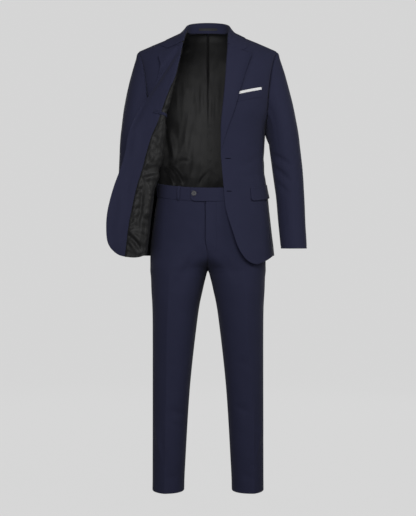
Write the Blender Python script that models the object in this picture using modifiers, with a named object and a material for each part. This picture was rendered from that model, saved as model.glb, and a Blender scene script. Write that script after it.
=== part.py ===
"""Two-piece suit, filled out as when it is worn: a single-breasted two-button jacket whose right
front is turned open, over straight trousers.  Metres, +Z up, the front faces -Y.  The origin is the
middle of the jacket's neck opening, where the wearer's neck and shoulders carry it."""

import math

import bmesh
import bpy
import numpy as np
from mathutils import Vector

# Walls and gaps
CLOTH = 0.0018            # wool cloth with its interlining
LINING = 0.0012           # lining
SEAM = 0.0003             # between two pieces at a seam
LAID = 0.0009             # between a panel and a piece laid on it
OVER = CLOTH + LAID       # from a panel's middle to that of a cloth piece laid on it
BEHIND = CLOTH + 2 * SEAM                        # to that of the facing behind it
UNDER = CLOTH / 2 + 2 * SEAM + LINING / 2        # to that of the lining behind it

# Jacket
MID_Y = 0.008             # the plane of the shoulder seams
ROUND = 2.3               # how square the body's sections are (2 is an ellipse)
NECK_HALF = 0.072         # half the width of the neck opening
SHOULDER_TIP = 0.226      # shoulder point to the middle
NECK_FALL = 0.0106        # fall of the back neckline to the shoulder seam
SHOULDER_SLOPE = 0.4156   # fall of the shoulder seam for each metre outward
HEM_RISE = 0.030          # rise of the hem from the fronts to the side seams
HEM_FLAT = 0.130          # the rise starts this far out
HEM_RUN = 0.080           # and takes this long
OPEN_LIFT = 0.035         # rise of the right hem where the front is turned open
OPEN_SAG = 0.012          # sag of that hem between the fold and the front edge
BUTTON_DIAMETER = 0.020
BUTTON_HEIGHTS = (-0.420, -0.525)
BUTTON_PLACE = 0.945      # their place between the body seam (0) and the front edge (1)
BUTTON_THICKNESS = 0.0032
BUTTON_SIDES = 12
BUTTON_PROFILE = ((0, 0), (0.85, 0), (1, 0.35), (0.95, 1), (0.78, 1), (0.68, 0.7), (0, 0.7))

# Rows of the jacket's body, from the hem to the shoulder seam
BODY_COLUMNS = ("level", "drop", "lift", "half", "front", "back", "neck", "edge", "lapel",
                "front_span", "back_span")
BODY_ROWS = (
    (-0.7530, 0.00, 1.00, 0.2150, 0.148, 0.134, 0.000, 0.1340, 0.0000, 0.940, 0.900),
    (-0.7050, 0.00, 0.62, 0.2110, 0.143, 0.131, 0.000, 0.0995, 0.0000, 0.940, 0.900),
    (-0.6400, 0.00, 0.25, 0.2050, 0.135, 0.126, 0.000, 0.0758, 0.0000, 0.940, 0.900),
    (-0.5750, 0.00, 0.00, 0.1980, 0.127, 0.119, 0.000, 0.0565, 0.0000, 0.940, 0.900),
    (-0.5100, 0.00, 0.00, 0.1915, 0.122, 0.110, 0.000, 0.0497, 0.0000, 0.940, 0.900),
    (-0.4500, 0.00, 0.00, 0.1835, 0.118, 0.104, 0.000, 0.0446, 0.0000, 0.940, 0.900),
    (-0.4000, 0.00, 0.00, 0.1820, 0.117, 0.103, 0.000, 0.0410, 0.0000, 0.940, 0.900),
    (-0.3500, 0.00, 0.00, 0.1840, 0.120, 0.107, 0.000, 0.0413, 0.0114, 0.940, 0.900),
    (-0.3050, 0.00, 0.00, 0.1880, 0.126, 0.114, 0.000, 0.0430, 0.0243, 0.940, 0.900),
    (-0.2600, 0.00, 0.00, 0.2020, 0.130, 0.121, 0.000, 0.0474, 0.0348, 0.940, 0.900),
    (-0.2100, 0.03, 0.00, 0.2105, 0.129, 0.125, 0.000, 0.0525, 0.0434, 0.920, 0.905),
    (-0.1580, 0.10, 0.00, 0.2155, 0.121, 0.124, 0.000, 0.0567, 0.0538, 0.925, 0.910),
    (-0.1080, 0.24, 0.00, 0.2190, 0.106, 0.118, 0.000, 0.0601, 0.0648, 0.940, 0.922),
    (-0.0650, 0.44, 0.00, 0.2225, 0.086, 0.104, 0.004, 0.0633, 0.0718, 0.956, 0.938),
    (-0.0300, 0.68, 0.00, 0.2260, 0.064, 0.080, 0.014, 0.0652, 0.0450, 0.966, 0.953),
    (-0.0040, 0.88, 0.00, 0.2285, 0.042, 0.055, 0.027, 0.0668, 0.0330, 0.974, 0.968),
    (0.0100, 0.97, 0.00, 0.2295, 0.020, 0.030, 0.042, 0.0690, 0.0250, 0.979, 0.976),
    (0.0146, 1.00, 0.00, 0.2300, 0.000, 0.000, 0.060, 0.0720, 0.0230, 0.983, 0.983),
)
TOP = len(BODY_ROWS) - 1
PLAIN_ROWS = (1, 3)          # rows that shape the curves but carry no points
ARM_ROW = 9               # the armhole starts here at the two side seams
UNDERARM_ROW = 8.0        # and here half way between them
BREAK_ROW = 6.3           # where the lapel starts
BREAK_WIDTH = 0.003       # the lapel's width there
LAPEL_SHARE = 4 / 9       # share of the left front's columns that lies under the lapel
LEAST_SHARE = 0.012       # they are at least this wide together
GORGE_ROW = 13.46         # where the gorge seam meets the roll line
TIP_ROW = 13              # the lapel's point

# The right front on the same rows: the fold where it turns open, then its free front edge
OPEN_COLUMNS = ("fold_x", "fold_y", "turn", "edge_x", "edge_y", "edge_z", "facing")
OPEN_ROWS = (
    (0.1980, -0.140, 90, 0.2937, -0.132, -0.7156, 0.850),
    (0.1940, -0.138, 90, 0.3135, -0.133, -0.6800, 0.800),
    (0.1900, -0.134, 90, 0.3178, -0.132, -0.6300, 0.780),
    (0.1820, -0.130, 90, 0.3130, -0.130, -0.5780, 0.768),
    (0.1710, -0.126, 90, 0.2955, -0.127, -0.5100, 0.765),
    (0.1540, -0.122, 90, 0.2740, -0.122, -0.4500, 0.768),
    (0.1460, -0.124, 90, 0.2595, -0.119, -0.4000, 0.760),
    (0.1405, -0.127, 90, 0.2512, -0.116, -0.3500, 0.728),
    (0.1355, -0.130, 90, 0.2380, -0.112, -0.3050, 0.675),
    (0.1285, -0.128, 82, 0.2155, -0.106, -0.2600, 0.655),
    (0.1180, -0.123, 70, 0.1855, -0.100, -0.2100, 0.640),
    (0.1065, -0.114, 56, 0.1618, -0.097, -0.1600, 0.550),
    (0.0958, -0.100, 42, 0.1500, -0.089, -0.1200, 0.545),
    (0.0875, -0.080, 30, 0.1527, -0.062, -0.0745, 0.545),
    (0.0815, -0.056, 24, 0.0815, -0.056, -0.0400, 0.545),
    (0.0770, -0.033, 14, 0.0770, -0.033, -0.0154, 0.545),
    (0.0740, -0.011, 5, 0.0740, -0.011, -0.0010, 0.545),
    (0.0720, 0.008, 0, 0.0720, 0.008, 0.0040, 0.545),
)
LAPEL_END_ROW = 14        # the opened lapel closes at the gorge seam here
SEAM_SHARE = 0.6          # share of this front's columns that lie behind the lining
ROLL_TIGHT = 0.045        # how far the cloth runs on before it turns: at the neck
ROLL_SOFT = 0.080         # and lower down

# Collar stations from the centre back to the notch.  The fall's edge lies on the body at a row and
# an x; rows past TOP run down the back.  Hug is how closely the fall follows the body to its edge.
COLLAR_COLUMNS = ("seam_x", "seam_y", "seam_z", "fold_x", "fold_y", "fold_z", "edge_x",
                  "fold_row", "edge_row", "hug")
COLLAR_BACK = (
    (0.0000, 0.0665, 0.0163, 0.0000, 0.0790, 0.0545, 0.0000, 17.00, 18.60, 0.0),
    (0.0300, 0.0610, 0.0152, 0.0320, 0.0725, 0.0515, 0.0400, 17.00, 18.55, 0.0),
    (0.0560, 0.0440, 0.0115, 0.0585, 0.0530, 0.0410, 0.0780, 17.00, 18.40, 0.1),
    (0.0690, 0.0120, 0.0070, 0.0700, 0.0190, 0.0250, 0.1050, 17.00, 17.40, 0.5),
)
COLLAR_LEFT = (
    (0.0655, -0.0200, -0.0050, 0.0690, -0.0150, 0.0070, 0.1220, 15.70, 15.60, 0.9),
    (0.0630, -0.0440, -0.0265, 0.0665, -0.0465, -0.0170, 0.1272, 14.60, 13.90, 1.0),
    (0.0627, -0.0600, -0.0460, 0.0655, -0.0675, -0.0460, 0.1068, 13.52, 13.22, 1.0),
)
COLLAR_RIGHT = (
    (0.0700, -0.0180, -0.0020, 0.0745, -0.0150, 0.0060, 0.1330, 15.90, 15.90, 0.9),
    (0.0745, -0.0370, -0.0180, 0.0780, -0.0380, -0.0120, 0.1500, 15.00, 14.95, 1.0),
    (0.0780, -0.0500, -0.0330, 0.0810, -0.0570, -0.0340, 0.1278, 14.05, 13.75, 1.0),
)
COLLAR_ROLL = 0.0030      # radius of the fold
FALL_EASE = 0.0012        # the fall stands off the body by this much more than its edge
TAPE_REACH = 1.03         # hanger tape: how many stations to each side of the centre back
TAPE_EDGES = (0.28, 0.52) # its lower and upper edge, as shares of the stand's height

# Sleeves below the upper arm: centre, half-width and half-depth; the right one hangs closer
SLEEVE_COLUMNS = ("level", "left_x", "right_x", "left_y", "right_y", "half_width", "half_depth")
SLEEVE_ROWS = (
    (-0.380, 0.2500, 0.2370, -0.002, 0.004, 0.0495, 0.0620),
    (-0.460, 0.2590, 0.2420, -0.007, 0.003, 0.0480, 0.0580),
    (-0.540, 0.2660, 0.2490, -0.018, -0.004, 0.0450, 0.0530),
    (-0.620, 0.2700, 0.2560, -0.033, -0.014, 0.0430, 0.0490),
    (-0.700, 0.2750, 0.2620, -0.052, -0.026, 0.0410, 0.0465),
)
ARMHOLE_GAP = 0.0021      # the sleeve starts this far outside the armhole
CAP_OUT = (0.32, 0.25)    # how far its cap leaves outward: at the crown, and more at front and back
CAP_FORWARD = 0.25        # and forward or backward
CAP_RINGS = 4             # from the armhole to the first row of the table
CAP_STEPS = (0, 0.8, 1.7, 2.8)
SLEEVE_SEAM = 0.66        # seams between top and under sleeve, from the crown (0) to the underarm (1)

# Trousers: one leg's section at each level; above the fork it is cut off at the centre seam
LEG_COLUMNS = ("level", "centre_x", "centre_y", "half_width", "half_depth", "tilt")
LEG_ROWS = (
    (-1.4810, 0.1285, 0.000, 0.0505, 0.0665, 0.0),
    (-1.4100, 0.1270, 0.001, 0.0517, 0.0670, 0.0),
    (-1.1500, 0.1190, 0.004, 0.0598, 0.0730, 0.0),
    (-0.9200, 0.1065, 0.005, 0.0730, 0.0925, 0.0),
    (-0.8350, 0.1005, 0.006, 0.0830, 0.1050, 0.0),
    (-0.7950, 0.0965, 0.007, 0.0885, 0.1100, 0.0),
    (-0.7735, 0.0942, 0.008, 0.0930, 0.1120, 0.0),
    (-0.7550, 0.0860, 0.008, 0.1010, 0.1140, 0.0),
    (-0.7250, 0.0520, 0.009, 0.1350, 0.1170, 0.0),
    (-0.6800, 0.0000, 0.009, 0.1850, 0.1190, 0.0),
    (-0.6100, 0.0000, 0.003, 0.1760, 0.1140, 0.4),
    (-0.5300, 0.0000, -0.003, 0.1640, 0.1060, 1.0),
    (-0.4910, 0.0000, -0.004, 0.1600, 0.1040, 1.0),
)
BAND_ROW = 11             # the waistband is sewn on here
LEG_ROUND = 2.15
WAIST_SLOPE = 0.063       # rise of the waist for each metre towards the back
WAIST_BOW = 1.13          # and its fall for each square metre, to the front and to the back
TAB_END = -0.053          # the waistband's tab ends here, past the centre front
TAB_BUTTON = (-0.0425, 0.0165)    # its button: place and diameter
TAB_SLOPE = 0.09          # the band comes back from the tab to its own line over this angle
FLY_EDGE = -0.0065
FLY_TOP = -0.5515
FLY_WIDTH = 0.040
FLY_LENGTH = 0.170
FLY_STEPS = (0, 0.06, 0.12, 0.25, 0.45, 0.65, 0.85, 1)
LOOP_WIDTH = 0.010
LOOP_STEPS = (-0.06, 0.1, 0.5, 0.9, 1.06)         # up the band, past its edges
LOOP_STAND = (0, 0.0016, 0.0020, 0.0016, 0)       # how far a loop stands off it there
LOOP_ANGLES = (33, 78, 140, 180, 220, 282, 327)    # round the waist from the centre front

# Pockets
WELT = (0.1040, 0.1720, -0.2060, -0.1930, 0.022)   # inner x, outer x, their heights, height
SQUARE_HEIGHT = 0.0065
SQUARE_INSET = 0.002
FLAP_ANGLES = (41.6, 104) # ends of the left flap, round the body from the centre front
FLAP_SHARES = (0.03, 0.43)        # ends of the right one, between body seam and front edge
FLAP_TOP = -0.5080
FLAP_RISE = 0.0145        # rise of the left pocket from its front end to the side
FLAP_DEPTH = 0.040
FLAP_FLARE = 0.0020       # its lower edge stands off this much more
JET_HEIGHT = 0.006
INSIDE_WELT = (0.42, 8.26, 0.77, 8.62, 0.18)      # lower end: place and row; upper end; height in rows

COLOURS = {
    "wool": (0.0220, 0.0225, 0.0460),
    "lining": (0.0290, 0.0290, 0.0300),
    "button": (0.0150, 0.0150, 0.0200),
    "linen": (0.8000, 0.8000, 0.8000),
    "tape": (0.0200, 0.0200, 0.0220),
}
ROUGHNESS = {"wool": 0.85, "lining": 0.45, "button": 0.35, "linen": 0.80, "tape": 0.60}


# ---------------------------------------------------------------- tables and curves

def column(names, rows, name):
    return np.array([row[names.index(name)] for row in rows], dtype=float)


BODY = {name: column(BODY_COLUMNS, BODY_ROWS, name) for name in BODY_COLUMNS}
OPEN = {name: column(OPEN_COLUMNS, OPEN_ROWS, name) for name in OPEN_COLUMNS}
SLEEVE = {name: column(SLEEVE_COLUMNS, SLEEVE_ROWS, name) for name in SLEEVE_COLUMNS}
LEG = {name: column(LEG_COLUMNS, LEG_ROWS, name) for name in LEG_COLUMNS}


def through(values, t):
    """Catmull-Rom curve through values that stand at 0, 1, 2 ..."""
    last = len(values) - 1
    i = int(min(max(t, 0), last - 1e-9))
    u = t - i
    b, c = values[i], values[i + 1]
    a = values[i - 1] if i > 0 else 2 * b - c
    d = values[i + 2] if i + 2 <= last else 2 * c - b
    return b + 0.5 * u * (c - a + u * (2 * a - 5 * b + 4 * c - d + u * (3 * (b - c) + d - a)))


def between_rows(row_point, r, *place):
    """The same place on the rows around r, joined by a smooth curve."""
    first = int(min(max(r, 0), TOP - 1e-9))
    near = [min(max(first + k, 0), TOP) for k in (-1, 0, 1, 2)]
    points = [row_point(i, *place) for i in near]
    if first == 0:
        points[0] = 2 * points[1] - points[2]
    if first == TOP - 1:
        points[3] = 2 * points[2] - points[1]
    return through(points, 1 + r - first)


def oval(ratio, power):
    """Height of a rounded section at a given fraction of its half-width."""
    return max(0.0, 1 - abs(ratio) ** power) ** (1 / power)


def hermite(start, leave, end, arrive, u):
    return ((1 + 2 * u) * (1 - u) ** 2 * start + u * (1 - u) ** 2 * leave
            + u * u * (3 - 2 * u) * end + u * u * (u - 1) * arrive)


# ---------------------------------------------------------------- the jacket's body

def shoulder_fall(x):
    x = abs(x)
    return NECK_FALL * min(x / NECK_HALF, 1) ** 1.5 + SHOULDER_SLOPE * max(x - NECK_HALF, 0)


def front_rise(x):
    return HEM_RISE * min(max((abs(x) - HEM_FLAT) / HEM_RUN, 0), 1) ** 2


def row_height(i, x, rise):
    return BODY["level"][i] + BODY["lift"][i] * rise - BODY["drop"][i] * shoulder_fall(x)


def front_row(i, x):
    y = MID_Y - BODY["front"][i] * oval(x / BODY["half"][i], ROUND)
    return np.array((x, y, row_height(i, x, front_rise(x))))


def back_row(i, x):
    y = MID_Y + BODY["back"][i] * oval(x / BODY["half"][i], ROUND)
    if i == TOP:
        y += BODY["neck"][i] * oval(x / NECK_HALF, 2)
    else:
        y += BODY["neck"][i] * max(0, 1 - (x / (1.5 * NECK_HALF)) ** 2) ** 1.5
    return np.array((x, y, row_height(i, x, HEM_RISE)))


def front_limit(i):
    return BODY["half"][i] * BODY["front_span"][i]


def back_limit(i):
    return BODY["half"][i] * BODY["back_span"][i]


def left_front_row(i, s):
    edge, limit = BODY["edge"][i], front_limit(i)
    roll = edge + max(BODY["lapel"][i], LEAST_SHARE)
    if s <= LAPEL_SHARE:
        return front_row(i, edge + (roll - edge) * s / LAPEL_SHARE)
    return front_row(i, roll + (limit - roll) * (s - LAPEL_SHARE) / (1 - LAPEL_SHARE))


def back_panel_row(i, s):
    return back_row(i, back_limit(i) * s)


def side_row(i, s):
    """From the front seam round the side to the back seam."""
    start = math.asin(BODY["front_span"][i] ** (ROUND / 2))
    stop = math.pi - math.asin(BODY["back_span"][i] ** (ROUND / 2))
    angle = start + (stop - start) * s
    x = BODY["half"][i] * math.sin(angle) ** (2 / ROUND)
    depth = BODY["front"][i] if angle < math.pi / 2 else BODY["back"][i]
    y = MID_Y - depth * math.copysign(abs(math.cos(angle)) ** (2 / ROUND), math.cos(angle))
    rise = front_rise(x) if angle < math.pi / 2 else HEM_RISE
    return np.array((x, y, row_height(i, x, rise)))


def side_top(s):
    return UNDERARM_ROW + (ARM_ROW - UNDERARM_ROW) * (2 * s - 1) ** 2


def open_front_row(i, s):
    """The opened right front: body to fold (s up to 0.5), then fold to front edge.  In the left
    half of space, so that it mirrors to the right side."""
    start = front_row(i, front_limit(i))
    step = start - front_row(i, front_limit(i) - 0.004)
    fold = np.array((OPEN["fold_x"][i], OPEN["fold_y"][i],
                     row_height(i, OPEN["fold_x"][i], OPEN_LIFT)))
    turn = math.radians(OPEN["turn"][i])
    climb = BODY["drop"][i] * SHOULDER_SLOPE
    heading = np.array((-math.cos(turn), -math.sin(turn), climb * math.cos(turn)))
    if s <= 0.5:
        span = np.linalg.norm(fold - start)
        leave = -step / np.linalg.norm(step) * span
        return hermite(start, leave, fold, heading * span, 2 * s)
    edge = np.array((OPEN["edge_x"][i], OPEN["edge_y"][i], OPEN["edge_z"][i]))
    if i >= LAPEL_END_ROW:
        return fold
    u = 2 * s - 1
    roll = ROLL_TIGHT + (ROLL_SOFT - ROLL_TIGHT) * math.sin(turn)
    point = hermite(fold, heading * roll, edge, edge - fold, u)
    point[2] -= OPEN_SAG * BODY["lift"][i] * math.sin(math.pi * u)
    return point


def open_front_columns(i, c):
    """Places columns so that one of them, at SEAM_SHARE, follows the seam of lining and facing."""
    seam = OPEN["facing"][i]
    if c <= SEAM_SHARE:
        return open_front_row(i, seam * c / SEAM_SHARE)
    return open_front_row(i, seam + (1 - seam) * (c - SEAM_SHARE) / (1 - SEAM_SHARE))


def open_panel_point(c, r):
    """The opened front's surface; the top of its lapel follows the gorge seam."""
    last = LAPEL_END_ROW - 2
    if r > last and c > SEAM_SHARE:
        r = last + (r - last) * (1 - (c - SEAM_SHARE) / (1 - SEAM_SHARE) / 2)
    return between_rows(open_front_columns, r, c)


def at_height(surface, z, last):
    """The place between 0 and last at which a surface, followed upward, reaches height z."""
    low, high = 0.0, float(last)
    for _ in range(30):
        middle = (low + high) / 2
        if surface(middle)[2] < z:
            low = middle
        else:
            high = middle
    return surface((low + high) / 2)


def on_front(x, z):
    return at_height(lambda r: between_rows(front_row, r, x), z, TOP)


def level_row(z):
    return float(np.interp(z, BODY["level"], range(TOP + 1)))


# ---------------------------------------------------------------- grids of points

def grid(point, across, along):
    """Points of a surface: a row of columns for each value along it."""
    return np.array([[point(c, r) for c in across] for r in along])


def steps(count, start=0.0, stop=1.0):
    return [start + (stop - start) * k / count for k in range(count + 1)]


def unit(vectors):
    return vectors / np.maximum(np.linalg.norm(vectors, axis=-1, keepdims=True), 1e-9)


def normals(points):
    """Unit normals at the points, and the share by which a fold brings the cloth closer there."""
    along = np.gradient(points, axis=0)
    step = np.diff(points, axis=1)
    before = unit(np.cross(np.concatenate((step[:, :1], step), axis=1), along))
    after = unit(np.cross(np.concatenate((step, step[:, -1:]), axis=1), along))
    middle = (before + after) / 2
    share = np.linalg.norm(middle, axis=-1, keepdims=True)
    return unit(middle), np.clip(share, 0.6, 1)


def moved(points, distance):
    """The grid moved off along its normals, by the same distance on both sides of a fold."""
    normal, share = normals(points)
    return points + normal * distance / share


def trimmed(points, sides="lrbt", gap=0.75 * SEAM):
    """Pulls the named edges in, to leave a seam: left and right columns, bottom and top rows."""
    points = points.copy()
    pairs = {"l": ((slice(None), 0), (slice(None), 1)), "r": ((slice(None), -1), (slice(None), -2)),
             "b": ((0,), (1,)), "t": ((-1,), (-2,))}
    for side in sides:
        edge, inner = pairs[side]
        step = points[inner] - points[edge]
        length = np.linalg.norm(step, axis=-1, keepdims=True)
        points[edge] += step / np.maximum(length, gap) * gap
    return points


def mirrored(points):
    """The same grid on the other side of the body; its columns are reversed to keep it facing out."""
    return (points * (-1, 1, 1))[:, ::-1]


# ---------------------------------------------------------------- objects

def new_collection(name):
    made = bpy.data.collections.new(name)
    bpy.context.scene.collection.children.link(made)
    return made


def material(kind, name):
    made = bpy.data.materials.new(name)
    made.use_nodes = True
    shader = made.node_tree.nodes["Principled BSDF"]
    shader.inputs["Base Color"].default_value = (*COLOURS[kind], 1)
    shader.inputs["Roughness"].default_value = ROUGHNESS[kind]
    shader.inputs["Metallic"].default_value = 0
    return made


def add_object(name, mesh, kind):
    made = bpy.data.objects.new(name, mesh)
    mesh.materials.append(material(kind, name))
    SUIT.objects.link(made)
    mesh.shade_smooth()
    mesh.set_sharp_from_angle(angle=math.radians(40))
    return made


def cloth(name, points, kind="wool", wall=CLOTH, corner=None):
    """One piece of cloth: an open grid, thickened evenly to both sides.  Corner is a row and a
    column: what lies past both is left out."""
    rows, columns = points.shape[:2]
    shape = bmesh.new()
    corners = [[shape.verts.new(point) for point in row] for row in points]
    for j in range(rows - 1):
        for i in range(columns - 1):
            if corner and j >= corner[0] and i >= corner[1]:
                continue
            low, high = corners[j][i:i + 2], corners[j + 1][i:i + 2]
            shape.faces.new((low[0], low[1], high[1]))
            shape.faces.new((low[0], high[1], high[0]))
    loose = [spot for spot in shape.verts if not spot.link_faces]
    bmesh.ops.delete(shape, geom=loose, context="VERTS")
    bmesh.ops.remove_doubles(shape, verts=shape.verts, dist=0.00005)
    mesh = bpy.data.meshes.new(name)
    shape.to_mesh(mesh)
    shape.free()
    made = add_object(name, mesh, kind)
    solidify = made.modifiers.new("wall", "SOLIDIFY")
    solidify.thickness = wall
    solidify.offset = 0
    return made


def button(name, centre, normal, diameter):
    """A button with a raised rim, turned about its own axis."""
    mesh = bpy.data.meshes.new(name)
    shape = bmesh.new()
    spots = [shape.verts.new((diameter / 2 * x, 0, BUTTON_THICKNESS * z)) for x, z in BUTTON_PROFILE]
    edges = [shape.edges.new(pair) for pair in zip(spots, spots[1:])]
    bmesh.ops.spin(shape, geom=spots + edges, axis=(0, 0, 1), cent=(0, 0, 0),
                   steps=BUTTON_SIDES, angle=2 * math.pi, use_merge=True)
    bmesh.ops.remove_doubles(shape, verts=shape.verts, dist=0.00005)
    bmesh.ops.recalc_face_normals(shape, faces=shape.faces)
    shape.to_mesh(mesh)
    shape.free()
    made = add_object(name, mesh, "button")
    made.rotation_euler = Vector(normal).to_track_quat("Z", "Y").to_euler()
    made.location = centre
    return made


# ---------------------------------------------------------------- the jacket's pieces

BODY_STEPS = [float(i) for i in range(TOP + 1) if i not in PLAIN_ROWS]


def body_panels():
    """Left front, the side panels and the backs with their linings."""
    front = grid(lambda s, r: between_rows(left_front_row, r, s), steps(9), BODY_STEPS)
    cloth("front_left", trimmed(trimmed(front, "lrb"), "t", 2 * SEAM))

    side = grid(lambda s, r: between_rows(side_row, r * side_top(s) / ARM_ROW, s),
                steps(4), BODY_STEPS[:BODY_STEPS.index(ARM_ROW) + 1])
    cloth("side_left", trimmed(side))
    cloth("side_right", trimmed(mirrored(side)))

    corner = NECK_HALF / SHOULDER_TIP
    places = steps(2, 0, corner) + steps(5, corner, 1)[1:]
    back = grid(lambda s, r: between_rows(back_panel_row, r, s), places, BODY_STEPS)
    lining = trimmed(moved(back, UNDER), gap=3 * SEAM)
    back = trimmed(trimmed(back, "lrb"), "t", 2 * SEAM)
    cloth("back_left", back)
    cloth("back_right", mirrored(back))
    cloth("lining_back_left", lining, "lining", LINING)
    cloth("lining_back_right", mirrored(lining), "lining", LINING)


def opened_front():
    """Right front with its lining and facing, and the two buttons on its outer side."""
    seam = 9
    places = steps(seam, 0, SEAM_SHARE) + [SEAM_SHARE + (1 - SEAM_SHARE) * share ** 1.4
                                           for share in steps(6)[1:]]
    panel = grid(open_panel_point, places, BODY_STEPS) * (-1, 1, 1)
    top = BODY_STEPS.index(LAPEL_END_ROW)
    cloth("front_right", trimmed(trimmed(panel, "lb"), "t", 2 * SEAM), corner=(top, seam))

    low = moved(panel[:top + 1], -BEHIND)
    cloth("facing_right", trimmed(low[:, seam:], "lb", SEAM))
    lining = moved(panel[:, :seam + 1], -UNDER)
    lining[:top] = moved(panel[:top + 1], -UNDER)[:-1, :seam + 1]
    cloth("lining_front_right", trimmed(lining, gap=3 * SEAM), "lining", LINING)

    for number, height in enumerate(BUTTON_HEIGHTS, 1):
        place, beside = (between_rows(open_front_row, level_row(height), s) * (-1, 1, 1)
                         for s in (BUTTON_PLACE, BUTTON_PLACE + 0.02))
        away = unit(np.cross(beside - place, (0, 0, 1)))
        button(f"button_front_{number}", place + away * (CLOTH / 2 + LAID), away, BUTTON_DIAMETER)


def lapel_point(w, r):
    """The left lapel from the roll line (w = 0) to its outer edge; its top follows the gorge seam."""
    width = BREAK_WIDTH if r == BREAK_ROW else through(BODY["lapel"], min(r, TIP_ROW))
    last = TIP_ROW - 1
    if r > last:
        r = last + (GORGE_ROW - last + (TIP_ROW - GORGE_ROW) * w) * (r - last)
    return between_rows(front_row, r, through(BODY["edge"], r) + width * w)


def lapel():
    rows = [BREAK_ROW] + [r for r in BODY_STEPS if BREAK_ROW < r < TIP_ROW] + [TIP_ROW - 0.35, TIP_ROW]
    points = grid(lapel_point, steps(4), rows)
    cloth("lapel_left", moved(points, OVER))


def collar_stations():
    """From the right notch round the back to the left one; x is below 0 on the right."""
    left = np.array(COLLAR_BACK + COLLAR_LEFT)
    right = np.array(COLLAR_BACK + COLLAR_RIGHT)[:0:-1]
    right[:, [COLLAR_COLUMNS.index(name) for name in ("seam_x", "fold_x", "edge_x")]] *= -1
    return list(np.vstack((right, left)))


STATIONS = collar_stations()
CENTRE_STATION = (len(STATIONS) - 1) / 2


def on_body(row, x):
    """A point of the body: rows past TOP run down the back; x below 0 is the right side."""
    side = math.copysign(1, x)
    if row > TOP:
        return between_rows(back_row, 2 * TOP - row, x)
    if side > 0:
        return between_rows(front_row, row, x)
    def opened(i, x):
        limit = front_limit(i)
        share = (limit - abs(x)) / (limit - OPEN["fold_x"][i])
        return open_front_row(i, 0.5 * min(share, 1))
    return between_rows(opened, row, x) * (-1, 1, 1)


def off_body(row, x, distance):
    """The same point, moved outward."""
    here, small = on_body(row, x), 0.004
    sideways = on_body(row, x + small) - on_body(row, x - small)
    upward = on_body(row + 0.05, x) - on_body(row - 0.05, x)
    return here + unit(np.cross(sideways, upward)) * distance


def collar_profile(k):
    """Section of the collar: up the stand, over the fold and down the fall to its edge."""
    station = through(STATIONS, k)
    seam, fold, (edge_x, fold_row, edge_row, hug) = station[:3], station[3:6], station[6:]
    edge = off_body(edge_row, edge_x, OVER + SEAM)
    out = unit((edge - fold) * (1, 1, 0)) * COLLAR_ROLL
    down = np.array((0, 0, COLLAR_ROLL))
    inner, outer = fold - out - down, fold + out - down
    fall = []
    for w in (0.35, 0.68):
        straight = outer + (edge - outer) * w
        row, x = fold_row + (edge_row - fold_row) * w, fold[0] + (edge_x - fold[0]) * w
        fall.append(straight + (off_body(row, x, OVER + FALL_EASE) - straight) * hug)
    return [seam, (seam + inner) / 2, inner, fold, outer, *fall, edge]


def collar():
    end = len(STATIONS) - 1
    places = [0, 0.99] + steps(2 * (end - 2), 1, end - 1)[1:-1] + [end - 0.99, end]
    cloth("collar", np.array([collar_profile(k) for k in places]))

    def stand(f, k):
        profile = collar_profile(k)
        return profile[0] + (profile[2] - profile[0]) * f
    ends = CENTRE_STATION - TAPE_REACH, CENTRE_STATION + TAPE_REACH
    tape = grid(stand, TAPE_EDGES, steps(4, *ends))
    cloth("hanger_loop", moved(tape, -(CLOTH + LAID + LINING) / 2), "tape", LINING)


# ---------------------------------------------------------------- sleeves

def armhole(side):
    """The armhole from the crown to the underarm, front (1) or back (-1), evenly spaced by length."""
    row_point = front_row if side > 0 else back_row
    span = BODY["front_span"] if side > 0 else BODY["back_span"]
    limit = BODY["half"] * span
    points = [between_rows(lambda i: row_point(i, limit[i]), r) for r in steps(32, TOP, ARM_ROW)]
    ends = (0, 0.5) if side > 0 else (1, 0.5)
    points += [between_rows(side_row, side_top(s), s) for s in steps(8, *ends)[1:]]
    points = np.array(points)
    lengths = np.concatenate(([0], np.cumsum(np.linalg.norm(np.diff(points, axis=0), axis=1))))
    return points, lengths / lengths[-1]


ARMHOLES = {side: armhole(side) for side in (1, -1)}


def on_armhole(around):
    """Point of the armhole; around is 0 at the crown, 1 at the underarm, below 0 on the back."""
    points, lengths = ARMHOLES[1 if around >= 0 else -1]
    return np.array([np.interp(abs(around), lengths, points[:, axis]) for axis in range(3)])


def sleeve_ring(side, q, around):
    name = "left" if side > 0 else "right"
    centre_x, centre_y = through(SLEEVE[name + "_x"], q), through(SLEEVE[name + "_y"], q)
    angle = math.pi * around
    return np.array((centre_x + through(SLEEVE["half_width"], q) * math.cos(angle),
                     centre_y - through(SLEEVE["half_depth"], q) * math.sin(angle),
                     through(SLEEVE["level"], q)))


def sleeve_point(side, around, t):
    """t runs down the cap from 0 to CAP_RINGS, then down the arm."""
    if around > 1:
        around -= 2
    if t >= CAP_RINGS:
        return sleeve_ring(side, t - CAP_RINGS, around)
    start = on_armhole(around) + (ARMHOLE_GAP, 0, 0)
    end = sleeve_ring(side, 0, around)
    span = np.linalg.norm(end - start)
    forward = math.sin(math.pi * around)
    leave = np.array((CAP_OUT[0] + CAP_OUT[1] * abs(forward), -CAP_FORWARD * forward, -0.9))
    arrive = unit(sleeve_ring(side, 0.2, around) - end)
    return hermite(start, leave * span, end, arrive * span, t / CAP_RINGS)


def sleeves():
    last = len(SLEEVE_ROWS) - 1
    rings = [*CAP_STEPS, *steps(last, CAP_RINGS, CAP_RINGS + last)]
    for side, name in ((1, "left"), (-1, "right")):
        for piece, start, stop, count in (("top", -SLEEVE_SEAM, SLEEVE_SEAM, 10),
                                          ("under", SLEEVE_SEAM, 2 - SLEEVE_SEAM, 4)):
            points = grid(lambda a, t: sleeve_point(side, a, t), steps(count, start, stop), rings)
            cloth(f"sleeve_{name}_{piece}", trimmed(points * (side, 1, 1), "lr", 1.5 * SEAM))


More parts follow.
